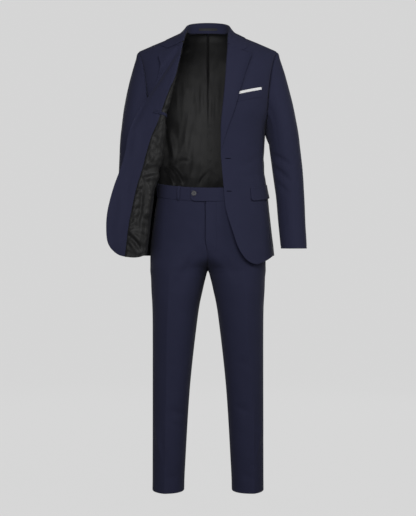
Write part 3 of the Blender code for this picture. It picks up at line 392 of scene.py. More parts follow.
# Each fold runs from u1, v1 to u2, v2; then its bow, width and depth, and the lean of its two sides
FOLDS = {
    "front": (
        (105, -452, 185, -400, 5, 10, -1.5, 0.2),
        (90, -470, 178, -462, -4, 12, -1.2, 0),
        (120, -400, 190, -350, 4, 12, -1, 0.2),
        (85, -560, 100, -690, 10, 22, 1.6, 0),
        (150, -580, 160, -700, 8, 20, -1.4, 0),
    ),
    "side": (
        (-40, -425, 60, -395, 4, 12, -1.6, 0.2),
        (-30, -470, 70, -440, 4, 12, -1.4, 0.2),
    ),
    "back": (
        (10, -420, 150, -360, 8, 16, -2, 0.2),
        (-10, -430, -150, -375, -8, 16, -2, 0.2),
        (20, -470, 150, -450, 8, 16, -1.6, 0.2),
        (-20, -475, -150, -455, -8, 16, -1.6, 0.2),
        (125, -110, 165, -270, 6, 14, -2.2, 0.1),
        (-125, -115, -165, -265, -6, 14, -2.2, 0.1),
        (55, -520, 65, -690, 4, 20, 1.8, 0),
        (-50, -530, -60, -680, -4, 20, 1.8, 0),
    ),
    "back_lining": (
        (-84, -44, -60, -30, 3, 6, -3, 0.2),
        (-25, -137, -26, -254, 2, 6, -1.4, 0.2),
        (-13, -150, -12, -240, 1, 5, 1.2, 0.2),
        (16, -180, 15, -272, 1, 4, -2, 0.2),
        (-52, -80, -58, -330, 6, 18, 1.8, 0.2),
        (48, -60, 44, -300, 4, 14, -1.6, 0.2),
        (-140, -304, -118, -410, 4, 10, -7.5, 0.2),
        (-134, -420, -87, -486, 6, 6, -7.5, 0.3),
        (-150, -432, -118, -488, 4, 6, -7.5, 0.3),
        (-120, -425, -78, -470, 4, 6, 2, 0.2),
        (-107, -412, -60, -409, 3, 6, -1.8, 0.2),
        (1, -444, -31, -486, -4, 6, -3, 0.3),
        (2, -436, 30, -472, 3, 6, -2.4, 0.2),
        (-1, -292, 10, -295, 1, 4, 0.9, 0),
        (1, -317, 13, -313, 1, 4, 1.2, 0),
        (-2, -349, 10, -354, 1, 4, 1, 0),
        (1, -374, 14, -368, 1, 5, 1.4, 0),
        (-3, -404, 10, -409, 1, 5, 1.2, 0),
    ),
    "facing": (
        (-88, -56, -208, -240, 0, 10, -12.5, 0.2),
        (-185, -205, -245, -335, 0, 10, -5, 0.2),
        (-222, -300, -250, -480, 6, 12, 3, 0.1),
        (-232, -400, -270, -560, 6, 12, -3, 0.1),
        (-270, -520, -290, -660, 6, 12, 3, 0.1),
        (-242, -600, -262, -700, -4, 12, -3, 0),
    ),
    "front_lining": (
        (-172, -346, -156, -368, 2, 6, -4, 0.2),
        (-176, -372, -158, -400, 2, 6, -3.4, 0.2),
        (-184, -398, -164, -430, -2, 6, 3, 0.2),
        (-150, -250, -152, -400, 3, 9, 1.6, 0.2),
        (-199, -474, -140, -452, 4, 11, -11, 0.3),
        (-204, -492, -160, -480, 4, 7, 3, 0.2),
        (-184, -496, -190, -600, 4, 7, 4.6, 0.2),
        (-170, -500, -180, -690, -3, 9, -8.6, 0.2),
        (-206, -505, -221, -640, 4, 6, -4.6, 0.2),
        (-196, -590, -206, -690, 3, 6, -4, 0.2),
        (-253, -638, -200, -700, 4, 6.5, 6, 0.1),
        (-252, -656, -206, -714, 4, 6.5, -6.6, 0.1),
        (-250, -674, -212, -726, 3, 6.5, 5.6, 0.1),
        (-192, -670, -184, -738, 3, 9, -7, 0.2),
    ),
    "sleeve_left": (
        (170, -270, 166, -360, 0, 22, 7.5, 0),
        (-170, -270, -166, -360, 0, 22, 7.5, 0),
        (165, -190, 150, -340, 4, 9, -4.5, 0.2),
        (155, -395, 68, -442, -6, 11, -4.2, 0.3),
        (158, -432, 78, -492, -6, 11, -4.8, 0.3),
        (150, -485, 90, -530, -4, 10, -3, 0.2),
        (12, -430, 55, -462, 4, 9, -2.1, 0.2),
        (-140, -400, -70, -450, 6, 11, -3.9, 0.2),
        (-145, -450, -60, -490, 6, 11, -3.6, 0.2),
        (-30, -280, -20, -380, 4, 14, 2.1, 0),
    ),
    "sleeve_right": (
        (170, -270, 166, -360, 0, 22, 6, 0),
        (-170, -270, -166, -360, 0, 22, 6, 0),
        (165, -185, 150, -330, 4, 9, -4.5, 0.2),
        (150, -400, 75, -450, -6, 11, -3.9, 0.3),
        (156, -442, 85, -500, -6, 11, -4.2, 0.3),
        (10, -440, 50, -470, 4, 9, -2.1, 0.2),
        (-135, -410, -65, -455, 6, 11, -3.9, 0.2),
        (-150, -460, -70, -500, 6, 11, -3.3, 0.2),
    ),
    "trouser_front": (
        (-14, -690, -110, -840, -6, 20, -5.6, 0.2),
        (18, -700, 100, -810, 6, 18, -3.4, 0.2),
        (-164, -1270, -140, -1390, -3, 8, 4.2, 0.3),
        (-150, -1300, -128, -1420, -3, 10, -3, 0.2),
        (169, -1255, 143, -1390, 4, 8, 4.2, -0.3),
        (158, -1290, 130, -1420, 4, 10, -3, 0.2),
        (-122, -1212, -78, -1240, 3, 10, -3, 0.1),
        (-120, -1245, -85, -1262, 3, 8, 2, 0.1),
        (85, -1205, 130, -1225, 3, 10, -2.4, 0.1),
        (-150, -1425, -100, -1440, 3, 10, -1.6, 0.1),
        (100, -1425, 155, -1435, 3, 10, -1.6, 0.1),
        (80, -1050, 130, -1080, 4, 14, -1.4, 0.1),
    ),
    "trouser_back": (
        (-165, -850, -40, -800, 8, 16, -4, 0.2),
        (40, -800, 165, -850, 8, 16, -4, 0.2),
        (-155, -895, -60, -860, 6, 14, -2.6, 0.2),
        (60, -860, 155, -900, 6, 14, -2.6, 0.2),
        (-165, -1070, -75, -1030, 5, 14, -3.2, 0.2),
        (75, -1035, 165, -1075, 5, 14, -3.2, 0.2),
        (-160, -1110, -80, -1085, 4, 12, -2.2, 0.2),
        (80, -1090, 160, -1115, 4, 12, -2.2, 0.2),
        (-160, -1400, -100, -1425, 4, 12, -2, 0.1),
        (100, -1420, 160, -1400, 4, 12, -2, 0.1),
    ),
    "waistband": (),
}
LOOKS = {                 # colour, deeper shade, roughness, sheen, weave, bump, specular level
    "wool": ((0.0205, 0.0220, 0.0500), (0.0170, 0.0185, 0.0430), 0.85, 0.08, 1100, 0.25, 0.2),
    "lining": ((0.0170, 0.0170, 0.0175), (0.0085, 0.0085, 0.0090), 0.50, 0.05, 2400, 0.10, 0.17),
    "tape": ((0.022, 0.022, 0.025), (0.018, 0.018, 0.021), 0.55, 0.05, 900, 0.3, 0.3),
    "linen": ((0.85, 0.85, 0.85), (0.75, 0.75, 0.75), 0.8, 0.1, 900, 0.3, 0.3),
}
PLAIN_LOOKS = {           # colour, roughness, specular level
    "button": ((0.02, 0.02, 0.028), 0.25, 0.5),
    "thread": ((0.012, 0.013, 0.030), 0.8, 0.1),
    # the slit's near-black colour is painted shade inside the buttonholes
    "slit": ((0.002, 0.002, 0.004), 0.9, 0.0),
}


# -------- tables and curves

def table(names, rows, plain=()):
    """The columns of a table by name, in metres; those named in plain are no lengths."""
    return {name: np.array([row[k] for row in rows]) * (1 if name in plain else 0.001)
            for k, name in enumerate(names)}


BODY = table(BODY_COLUMNS, BODY_ROWS, ("drop", "lift", "front_span", "back_span"))
OPEN = table(OPEN_COLUMNS, OPEN_ROWS, ("turn", "facing"))
SLEEVE = table(SLEEVE_COLUMNS, SLEEVE_ROWS)
LEG = table(LEG_COLUMNS, LEG_ROWS, ("tilt",))
CREASE = table(CREASE_COLUMNS, CREASES)


def spline(values, t):
    """Catmull-Rom curves through values that stand at 0, 1, 2 ...  Values may be a table with a
    curve in each column; t is then one list for all of them, or a list for each."""
    values, t = np.asarray(values, float), np.asarray(t, float)
    last = len(values) - 1
    ends = 2 * values[:1] - values[1:2], 2 * values[-1:] - values[-2:-1]
    spread = np.concatenate((ends[0], values, ends[1]))
    i = np.clip(t, 0, last - 1e-9).astype(int)
    u = t - i
    if values.ndim == 3:
        columns = np.arange(values.shape[1])
        if t.ndim == 1:
            i, u = i[:, None], u[:, None] + 0 * columns
        a, b, c, d = (spread[i + k, columns] for k in range(4))
    else:
        a, b, c, d = (spread[i + k] for k in range(4))
    u = u.reshape(u.shape + (1,) * (np.ndim(b) - u.ndim))
    return b + 0.5 * u * (c - a + u * (2 * a - 5 * b + 4 * c - d + u * (3 * (b - c) + d - a)))


def halved(value, wanted, high, steps=24):
    """Where a rising function has the wanted value, between 0 and high."""
    low = 0.0
    for _ in range(steps):
        middle = (low + high) / 2
        low, high = (middle, high) if value(middle) < wanted else (low, middle)
    return (low + high) / 2


def between_rows(row_point, r, *place):
    """The same place on the rows around r, joined by a smooth curve."""
    first = int(min(max(r, 0), TOP - 1e-9))
    near = [min(max(first + k, 0), TOP) for k in (-1, 0, 1, 2)]
    points = np.array([row_point(i, *place) for i in near])
    if first == 0:
        points[0] = 2 * points[1] - points[2]
    if first == TOP - 1:
        points[3] = 2 * points[2] - points[1]
    return spline(points, 1 + r - first)


def oval(ratio, power):
    """Height of a rounded section at a given fraction of its half-width."""
    return max(0.0, 1 - abs(ratio) ** power) ** (1 / power)


def squared(wave, power):
    """A sine or cosine that goes round such a section."""
    return np.sign(wave) * abs(wave) ** (2 / power)


def hermite(start, leave, end, arrive, u):
    return ((1 + 2 * u) * (1 - u) ** 2 * start + u * (1 - u) ** 2 * leave
            + u * u * (3 - 2 * u) * end + u * u * (u - 1) * arrive)


def smooth(x, start, stop):
    """0 before start, 1 past stop and a soft step between them."""
    u = np.clip((x - start) / (stop - start), 0, 1)
    return u * u * (3 - 2 * u)


def hump(x, place, width):
    """1 at the place, and less on both sides of it."""
    return np.exp(-((x - place) / width) ** 2)


# -------- the jacket's body, as in the CAD

def shoulder_fall(x):
    x = abs(x)
    return NECK_FALL * min(x / NECK_HALF, 1) ** 1.5 + SHOULDER_SLOPE * max(x - NECK_HALF, 0)


def front_rise(x):
    return HEM_RISE * min(max((abs(x) - HEM_FLAT) / HEM_RUN, 0), 1) ** 2


def row_height(i, x, rise):
    return BODY["level"][i] + BODY["lift"][i] * rise - BODY["drop"][i] * shoulder_fall(x)


def front_row(i, x):
    y = MID_Y - BODY["front"][i] * oval(x / BODY["half"][i], ROUND)
    return np.array((x, y, row_height(i, x, front_rise(x))))


def back_row(i, x):
    y = MID_Y + BODY["back"][i] * oval(x / BODY["half"][i], ROUND)
    if i == TOP:
        y += BODY["neck"][i] * oval(x / NECK_HALF, 2)
    else:
        y += BODY["neck"][i] * max(0, 1 - (x / (1.5 * NECK_HALF)) ** 2) ** 1.5
    return np.array((x, y, row_height(i, x, HEM_RISE)))


def limit(i, face="front"):
    """How far out a row of the front or back reaches."""
    return BODY["half"][i] * BODY[face + "_span"][i]


def left_front_row(i, s):
    return front_row(i, BODY["edge"][i] + (limit(i) - BODY["edge"][i]) * s)


def back_panel_row(i, s):
    """From the side to the centre back."""
    return back_row(i, limit(i, "back") * (1 - s))


def round_section(angle, half, front, back):
    """x and y of a section of the closed body at an angle from the centre front."""
    depth = front if angle < math.pi / 2 else back
    return half * squared(math.sin(angle), ROUND), MID_Y - depth * squared(math.cos(angle), ROUND)


def side_row(i, s):
    """From the front seam round the side to the back seam."""
    start = math.asin(BODY["front_span"][i] ** (ROUND / 2))
    stop = math.pi - math.asin(BODY["back_span"][i] ** (ROUND / 2))
    angle = start + (stop - start) * s
    x, y = round_section(angle, *(BODY[name][i] for name in ("half", "front", "back")))
    rise = front_rise(x) if angle < math.pi / 2 else HEM_RISE
    return np.array((x, y, row_height(i, x, rise)))


def side_top(s):
    return UNDERARM_ROW + (ARM_ROW - UNDERARM_ROW) * (2 * s - 1) ** 2


def open_front_row(i, s):
    """The opened right front: body to fold (s up to 0.5), then fold to front edge.  In the left
    half of space, so that it mirrors to the right side."""
    start = front_row(i, limit(i))
    step = start - front_row(i, limit(i) - NEARBY)
    fold = np.array((OPEN["fold_x"][i], OPEN["fold_y"][i],
                     row_height(i, OPEN["fold_x"][i], OPEN_LIFT)))
    turn = math.radians(OPEN["turn"][i])
    climb = BODY["drop"][i] * SHOULDER_SLOPE
    heading = np.array((-math.cos(turn), -math.sin(turn), climb * math.cos(turn)))
    if s <= 0.5:
        span = np.linalg.norm(fold - start)
        leave = -step / np.linalg.norm(step) * span
        return hermite(start, leave, fold, heading * span, 2 * s)
    edge = np.array((OPEN["edge_x"][i], OPEN["edge_y"][i], OPEN["edge_z"][i]))
    if i >= LAPEL_END_ROW:
        return fold
    u = 2 * s - 1
    roll = ROLL_TIGHT + (ROLL_SOFT - ROLL_TIGHT) * math.sin(turn)
    point = hermite(fold, heading * roll, edge, edge - fold, u)
    point[2] -= OPEN_SAG * BODY["lift"][i] * math.sin(math.pi * u)
    return point


def open_front_columns(i, c):
    """Places columns so that one of them, at SEAM_SHARE, follows the seam of lining and facing."""
    seam = OPEN["facing"][i]
    if c <= SEAM_SHARE:
        return open_front_row(i, seam * c / SEAM_SHARE)
    return open_front_row(i, seam + (1 - seam) * (c - SEAM_SHARE) / (1 - SEAM_SHARE))


def level_row(z):
    return float(np.interp(z, BODY["level"], range(TOP + 1)))


def on_opened(row, s):
    """A point of the opened front, on the right side."""
    return between_rows(open_front_row, row, s) * (-1, 1, 1)


# -------- grids of points

def ticks(*lengths, near="", start=(0,), end=(0,)):
    """Places along something whose parts, 1 apart, have these lengths: even steps, and finer ones
    next to its start (s) or end (e), or at given distances from them."""
    ends = np.concatenate(([0], np.cumsum(lengths)))
    start = list(NEAR if "s" in near else start)
    stop = [ends[-1] - gap for gap in reversed(NEAR if "e" in near else end)]
    count = max(round((stop[0] - start[-1]) / FINE), 1)
    spots = start + list(np.linspace(start[-1], stop[0], count + 1)[1:-1]) + stop
    return np.interp(spots, ends, range(len(ends)))


def distances(path):
    """Of the points of a path from its start, along it."""
    return np.concatenate(([0], np.cumsum(np.linalg.norm(np.diff(path, axis=0), axis=1))))


def row_lengths(points):
    return np.linalg.norm(np.diff(points, axis=0), axis=-1).max(axis=1)


def grid(point, across, up):
    """The points of a surface at these places across it, on rows at these places up it."""
    return np.array([[point(a, b) for a in across] for b in up])


def body_table(row_point, columns):
    """Points of every row of the jacket's body at these columns."""
    return grid(lambda c, i: row_point(i, c), columns, range(TOP + 1))


def unit(vectors):
    return vectors / np.maximum(np.linalg.norm(vectors, axis=-1, keepdims=True), 1e-12)


def normals(points, ring=False):
    """Unit normals of a grid; a ring's first and last columns are the same."""
    if ring:
        points = np.concatenate((points[:, -2:-1], points, points[:, 1:2]), axis=1)
    found = unit(np.cross(np.gradient(points, axis=1), np.gradient(points, axis=0)))
    return found[:, 1:-1] if ring else found


def moved(points, distance, ring=False):
    """The grid moved off along its normals, by one distance or by one for each point."""
    distance = np.asarray(distance, float)
    return points + normals(points, ring) * (distance[..., None] if distance.ndim else distance)


def on_side(points, side):
    """A grid, or its mirror image on the right side, with its columns reversed to face outward."""
    return points if side > 0 else (points * (-1, 1, 1))[:, ::-1]


def reach(points, side):
    """Distance of each point from a side of the grid: l, r, b or t."""
    axis = 1 if side in "lr" else 0
    steps = np.linalg.norm(np.diff(points, axis=axis), axis=-1)
    along = np.concatenate((np.zeros_like(np.take(steps, [0], axis)), np.cumsum(steps, axis)), axis)
    if side in "rt":
        along = np.take(along, [-1], axis) - along
    return along


def seams(points, sides, depth=DIP, width=DIP_REACH):
    """Depth of the furrows along these sides."""
    return -depth * sum(np.clip(1 - reach(points, side) / width, 0, 1) ** 2 for side in sides)


def split_seams(points, split, depth=DIP):
    """Furrows down both sides of two panels that meet at this column."""
    panels = points[:, :split + 1], points[:, split:]
    left, right = (seams(panel, "lr", depth) for panel in panels)
    return np.concatenate((left, right[:, 1:]), axis=1)


def weld(a, b):
    """Joins two grids along columns that stand for the same seam, as far up as both go."""
    rows = min(len(a), len(b))
    middle = (a[:rows, -1] + b[:rows, 0]) / 2
    a[:rows, -1] = middle
    b[:rows, 0] = middle


def at(points, j, i):
    """A place between the points of a grid, in rows and columns."""
    rows, columns = points.shape[:2]
    j, i = min(max(j, 0), rows - 1.001), min(max(i, 0), columns - 1.001)
    a, b = int(j), int(i)
    u, v = j - a, i - b
    return ((points[a, b] * (1 - v) + points[a, b + 1] * v) * (1 - u)
            + (points[a + 1, b] * (1 - v) + points[a + 1, b + 1] * v) * u)


def find(points, x, z):
    """The place on a grid with this x and z."""
    flat = points[..., (0, 2)]
    apart = ((flat - (x, z)) ** 2).sum(axis=-1)
    j, i = (float(k) for k in np.unravel_index(np.argmin(apart), apart.shape))
    for _ in range(4):
        up, over = at(flat, j + 0.5, i) - at(flat, j - 0.5, i), at(flat, j, i + 0.5) - at(flat, j, i - 0.5)
        off = np.array((x, z)) - at(flat, j, i)
        whole = up[0] * over[1] - up[1] * over[0]
        if abs(whole) < 1e-12:
            break
        j += float(np.clip((off[0] * over[1] - off[1] * over[0]) / whole, -3, 3))
        i += float(np.clip((up[0] * off[1] - up[1] * off[0]) / whole, -3, 3))
    return j, i


def laid_on(points, path, height):
    """A path of (x, z) places laid on a grid, this high above it, with the normals there."""
    away = normals(points)
    places = [find(points, x, z) for x, z in path]
    normal = unit(np.array([at(away, *place) for place in places]))
    return np.array([at(points, *place) for place in places]) + normal * height, normal


# -------- folds

def ripple(u, v, seed):
    """Slow, uneven waves, about 1 high."""
    total = 0
    for k, (across, along) in enumerate(WAVES):
        phase = seed * 1.7 + k * 2.3
        total = total + np.sin((u * across + v * along) * 2 * math.pi + phase
                               + 0.8 * np.sin((v * across - u * along) * 1.4 * math.pi + phase))
    return total / len(WAVES)


def crumple(u, v, seed):
    """Small creases that cross one another, from 0 in the creases to about 1 between them."""
    total = 0
    for k, (across, along) in enumerate(CRUMPLE_WAVES):
        bend = 2.2 * np.sin((u * along - v * across) * 0.9 + seed + k) + 1.6 * ripple(u, v, seed + k)
        total = total + abs(np.sin((u * across + v * along) * math.pi + bend + 1.3 * seed + k))
    return total / len(CRUMPLE_WAVES)


def fold_height(u, v, fold):
    """One fold: it runs from one place to another, bowed sideways, and dies away at its ends."""
    u1, v1, u2, v2, bow, width, depth = (0.001 * length for length in fold[:-1])
    lean = fold[-1]
    start, end = np.array((u1, v1)), np.array((u2, v2))
    way = end - start
    control = (start + end) / 2 + np.array((-way[1], way[0])) / np.linalg.norm(way) * bow * 2
    t = np.linspace(0, 1, FOLD_PARTS + 1)[:, None]
    path = (1 - t) ** 2 * start + 2 * t * (1 - t) * control + t * t * end
    height = np.zeros(u.shape)
    far = 2.6 * width * (1 + abs(lean))
    near = ((u > path[:, 0].min() - far) & (u < path[:, 0].max() + far)
            & (v > path[:, 1].min() - far) & (v < path[:, 1].max() + far))
    if not near.any():
        return height
    place = np.stack((u[near], v[near]), axis=-1)[:, None]
    part = np.diff(path, axis=0)
    off = place - path[:-1]
    along = np.clip((off * part).sum(axis=-1) / (part ** 2).sum(axis=-1), 0, 1)
    off = off - along[..., None] * part
    apart = np.linalg.norm(off, axis=-1)
    k = apart.argmin(axis=1)
    pick = np.arange(len(k)), k
    hand = np.sign(part[k, 0] * off[pick][:, 1] - part[k, 1] * off[pick][:, 0])
    share = (k + along[pick]) / FOLD_PARTS
    ratio = apart[pick] / (width * (1 + lean * hand))
    height[near] = depth * np.exp(-ratio ** 2) * np.sin(math.pi * np.clip(share, 0, 1)) ** 0.8
    return height


def folds(name, points, u=None):
    """Height of a surface's folds, with its ripple; they are placed by u, or x, and by height."""
    u, v = points[..., 0] if u is None else u, points[..., 2]
    seed, waves = RIPPLES[name]
    height = waves * ripple(u, v, seed) + sum(fold_height(u, v, fold) for fold in FOLDS[name])
    if name in CRUMPLES:
        high, drawn = CRUMPLES[name]
        height = height + high * (crumple(u, v * drawn, seed) - CRUMPLE_MIDDLE)
    return height


# -------- meshes

def outline(rows, columns, corner=None):
    """The border of a grid, counterclockwise from outside.  Corner is a row and a column: what lies
    past both is left out."""
    top, right = rows - 1, columns - 1
    row, place = corner or (top, right)
    path = [(0, i) for i in range(columns)]
    path += [(j, right) for j in range(1, row + 1)]
    path += [(row, i) for i in range(right - 1, place - 1, -1)]
    path += [(j, place) for j in range(row + 1, top + 1)]
    path += [(top, i) for i in range(place - 1, -1, -1)]
    path += [(j, 0) for j in range(top - 1, 0, -1)]
    return np.array(path)


def add_object(name, data, collection=None):
    made = bpy.data.objects.new(name, data)
    (collection or bpy.context.scene.collection).objects.link(made)
    return made


def add_mesh(name, points, faces, kinds, face_kinds=None, places=None):
    """A smooth mesh; places are its points on the flat cloth, in metres, for the weave."""
    mesh = bpy.data.meshes.new(name)
    mesh.from_pydata(np.asarray(points).tolist(), [], faces if isinstance(faces, list) else faces.tolist())
    for kind in kinds:
        mesh.materials.append(MATERIALS[kind])
    if face_kinds is not None:
        mesh.polygons.foreach_set("material_index", np.asarray(face_kinds, dtype=np.int32))
    if places is not None:
        corners = np.empty(len(mesh.loops), dtype=np.int32)
        mesh.loops.foreach_get("vertex_index", corners)
        layer = mesh.uv_layers.new(name="cloth")
        layer.data.foreach_set("uv", np.asarray(places, dtype=np.float32)[corners].ravel())
    mesh.validate()
    mesh.shade_smooth()
    return add_object(name, mesh, SUIT)


def shell(points, wall=SKIN, sewn="", corner=None, faced=0):
    """A thin wall on both sides of a grid, closed by a rim that is rounded except on sewn sides.
    The first columns, as many as faced says, have the outer cloth on the inside too."""
    rows, columns = points.shape[:2]
    away = normals(points) * (wall / 2)
    outer, inner = points + away, points - away
    border = outline(rows, columns, corner)
    j, i = border[:, 0], border[:, 1]
    middle, rise = points[j, i], away[j, i]
    way = np.roll(middle, -1, axis=0) - np.roll(middle, 1, axis=0)
    out = unit(np.cross(way, rise)) * (wall / 2)
    side = {"b": j == 0, "t": j == rows - 1, "l": i == 0, "r": i == columns - 1}
    bulge = np.ones(len(border))
    for name in sewn:
        bulge[side[name]] = 0
    out *= bulge[:, None]

    number = np.arange(rows * columns).reshape(rows, columns)
    quads = np.stack((number[:-1, :-1], number[:-1, 1:], number[1:, 1:], number[1:, :-1]), axis=-1)
    keep = np.ones(quads.shape[:2], dtype=bool)
    if corner:
        keep[corner[0]:, corner[1]:] = False
    plain = np.ones(quads.shape[:2], dtype=int)
    plain[:, :faced] = 0
    count = rows * columns
    loops = [number[j, i]]
    spots = [outer.reshape(-1, 3), inner.reshape(-1, 3)]
    for turn in RIM_TURNS:
        loops.append(2 * count + (len(loops) - 1) * len(border) + np.arange(len(border)))
        spots.append(middle + rise * math.cos(turn) + out * math.sin(turn))
    loops.append(count + number[j, i])
    faces = [quads[keep], quads[keep][:, ::-1] + count]
    kinds = [np.zeros(keep.sum(), dtype=int), plain[keep]]
    for upper, lower in zip(loops, loops[1:]):
        faces.append(np.stack((np.roll(upper, -1), upper, lower, np.roll(lower, -1)), axis=-1))
        kinds.append(np.zeros(len(border), dtype=int))
    flat = np.stack((reach(points, "l"), reach(points, "b")), axis=-1)
    places = np.concatenate([flat.reshape(-1, 2)] * 2 + [flat[j, i]] * len(RIM_TURNS))
    return np.concatenate(spots), np.concatenate(faces), np.concatenate(kinds), places


def declare(made, nodes):
    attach(made, "root")
    if nodes:
        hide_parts(*nodes)


def cloth(node, points, kind="wool", inner=None, held="hung", on="collar", corner=None, **how):
    """The cloth that stands for one CAD node, from the grid of its middle.  Its flat size, as wide and long
    as its longest row and column, and the area that shows are worked out but not used."""
    spots, faces, kinds, places = shell(points, corner=corner, **how)
    used = np.unique(faces)
    index = np.zeros(len(spots), dtype=int)
    index[used] = np.arange(len(used))
    made = add_mesh("cloth_" + node, spots[used], index[faces], (kind, inner or kind), kinds, places[used])
    declare(made, (node,))
    sides = points[:-1, :-1], points[:-1, 1:], points[1:, 1:], points[1:, :-1]
    area = np.linalg.norm(np.cross(sides[2] - sides[0], sides[3] - sides[1]), axis=-1) / 2
    if corner:
        area[corner[0]:, corner[1]:] = 0
    flat = [max(float(reach(points, side).max()), LEAST_CUT) for side in "lb"]
    return points


def wrapped(rings, sides, closed=False, top=True):
    """Faces round rings of points, and across the ends of an open row of them."""
    faces = []
    for k in range(rings if closed else rings - 1):
        near, far = k * sides, (k + 1) % rings * sides
        faces += [(near + a, near + b, far + b, far + a)
                  for a, b in zip(range(sides), [*range(1, sides), 0])]
    if not closed:
        faces.append(tuple(reversed(range(sides))))
    if top and not closed:
        faces.append(tuple((rings - 1) * sides + a for a in range(sides)))
    return faces


def lathe(line, sides, top=True):
    """Points and faces of a profile of (radius, height) turned about the z axis."""
    turns = np.linspace(0, 2 * math.pi, sides, endpoint=False)
    points = [(r * math.cos(a), r * math.sin(a), z) for r, z in line for a in turns]
    return points, wrapped(len(line), sides, top=top)


def tube(path, radius, normal, sides=8, closed=False):
    """Points and faces of a cord along a path."""
    path = np.asarray(path, float)
    if closed:
        way = unit(np.roll(path, -1, axis=0) - np.roll(path, 1, axis=0))
    else:
        way = unit(np.gradient(path, axis=0))
    across = unit(np.cross(way, normal))
    up = np.cross(across, way)
    turns = np.linspace(0, 2 * math.pi, sides, endpoint=False)[:, None]
    ring = path[:, None] + radius * (across[:, None] * np.cos(turns) + up[:, None] * np.sin(turns))
    return ring.reshape(-1, 3), wrapped(len(path), sides, closed)


def cords(name, parts, kind, turned=None):
    """Several tubes as one piece, which has no CAD node."""
    faces, first = [], 0
    for points, some in parts:
        faces += [tuple(first + k for k in face) for face in some]
        first += len(points)
    made = add_mesh(name, np.concatenate([points for points, _ in parts]), faces, (kind,))
    if turned:
        made.data.transform(turned)
    declare(made, ())


# -------- materials

def fill(node, inputs):
    for name, value in inputs.items():
        node.inputs[name].default_value = value


def node(tree, kind, inputs, **values):
    made = tree.nodes.new(kind)
    for name, value in values.items():
        setattr(made, name, value)
    fill(made, inputs)
    return made


def plain_material(name, colour, roughness, spec):
    made = bpy.data.materials.new(name)
    made.use_nodes = True
    fill(made.node_tree.nodes["Principled BSDF"],
         {"Base Color": (*colour, 1), "Roughness": roughness, "Specular IOR Level": spec})
    return made


def cloth_material(name, colour, deeper, roughness, sheen, weave, bump, spec):
    """A woven cloth: a fine twill in the bump, and slow changes of shade."""
    made = plain_material(name, colour, roughness, spec)
    tree = made.node_tree
    shader = tree.nodes["Principled BSDF"]
    fill(shader, {"Sheen Weight": sheen, "Sheen Roughness": 0.45,
                  "Sheen Tint": (*(0.5 + 0.5 * c for c in colour), 1)})
    place = node(tree, "ShaderNodeUVMap", {}, uv_map="cloth").outputs["UV"]
    wave = node(tree, "ShaderNodeTexWave",
                {"Scale": weave, "Distortion": 1.5, "Detail": 1, "Detail Scale": 2},
                wave_type="BANDS", bands_direction="DIAGONAL")
    cloud = node(tree, "ShaderNodeTexNoise", {"Scale": 14, "Detail": 6})
    mix = node(tree, "ShaderNodeMix", {"A": (*deeper, 1), "B": (*colour, 1)}, data_type="RGBA")
    relief = node(tree, "ShaderNodeBump", {"Strength": bump, "Distance": 0.0003})
    for output, target, name in (
            (place, wave, "Vector"), (place, cloud, "Vector"), (cloud.outputs["Fac"], mix, "Factor"),
            (mix.outputs["Result"], shader, "Base Color"), (wave.outputs["Fac"], relief, "Height"),
            (relief.outputs["Normal"], shader, "Normal")):
        tree.links.new(output, target.inputs[name])
    return made


# -------- jacket

def rounded(points, size, *corners):
    """Rounds corners of the grid, such as lb, over this distance, inside its own surface."""
    for corner in corners:
        turn = tuple(slice(None, None, -1 if side in corner else 1) for side in "tr")
        view = points[turn].copy()
        p, q = (1 - reach(view, side) / size for side in "lb")
        across, along = unit(np.gradient(view, axis=1)), unit(np.gradient(view, axis=0))
        less_p, less_q = (1 - np.sqrt(1 - np.clip(k, 0, 1) ** 2 / 2) for k in (q, p))
        shift = across * (p * less_p * size)[..., None] + along * (q * less_q * size)[..., None]
        view += shift * ((p > 0) & (q > 0))[..., None]
        points = view[turn]
    return points


def body_ticks():
    """Places of the fine rows of the body; three marks on them, the underarm, the end of the
    lapel and the top, are always there."""
    lengths = row_lengths(body_table(left_front_row, (0.3, 0.7)))
    low = ticks(*lengths[:ARM_ROW])
    middle = ARM_ROW + ticks(*lengths[ARM_ROW:LAPEL_END_ROW])
    high = LAPEL_END_ROW + ticks(*lengths[LAPEL_END_ROW:], near="e")
    return low, np.concatenate((low, middle[1:], high[1:]))


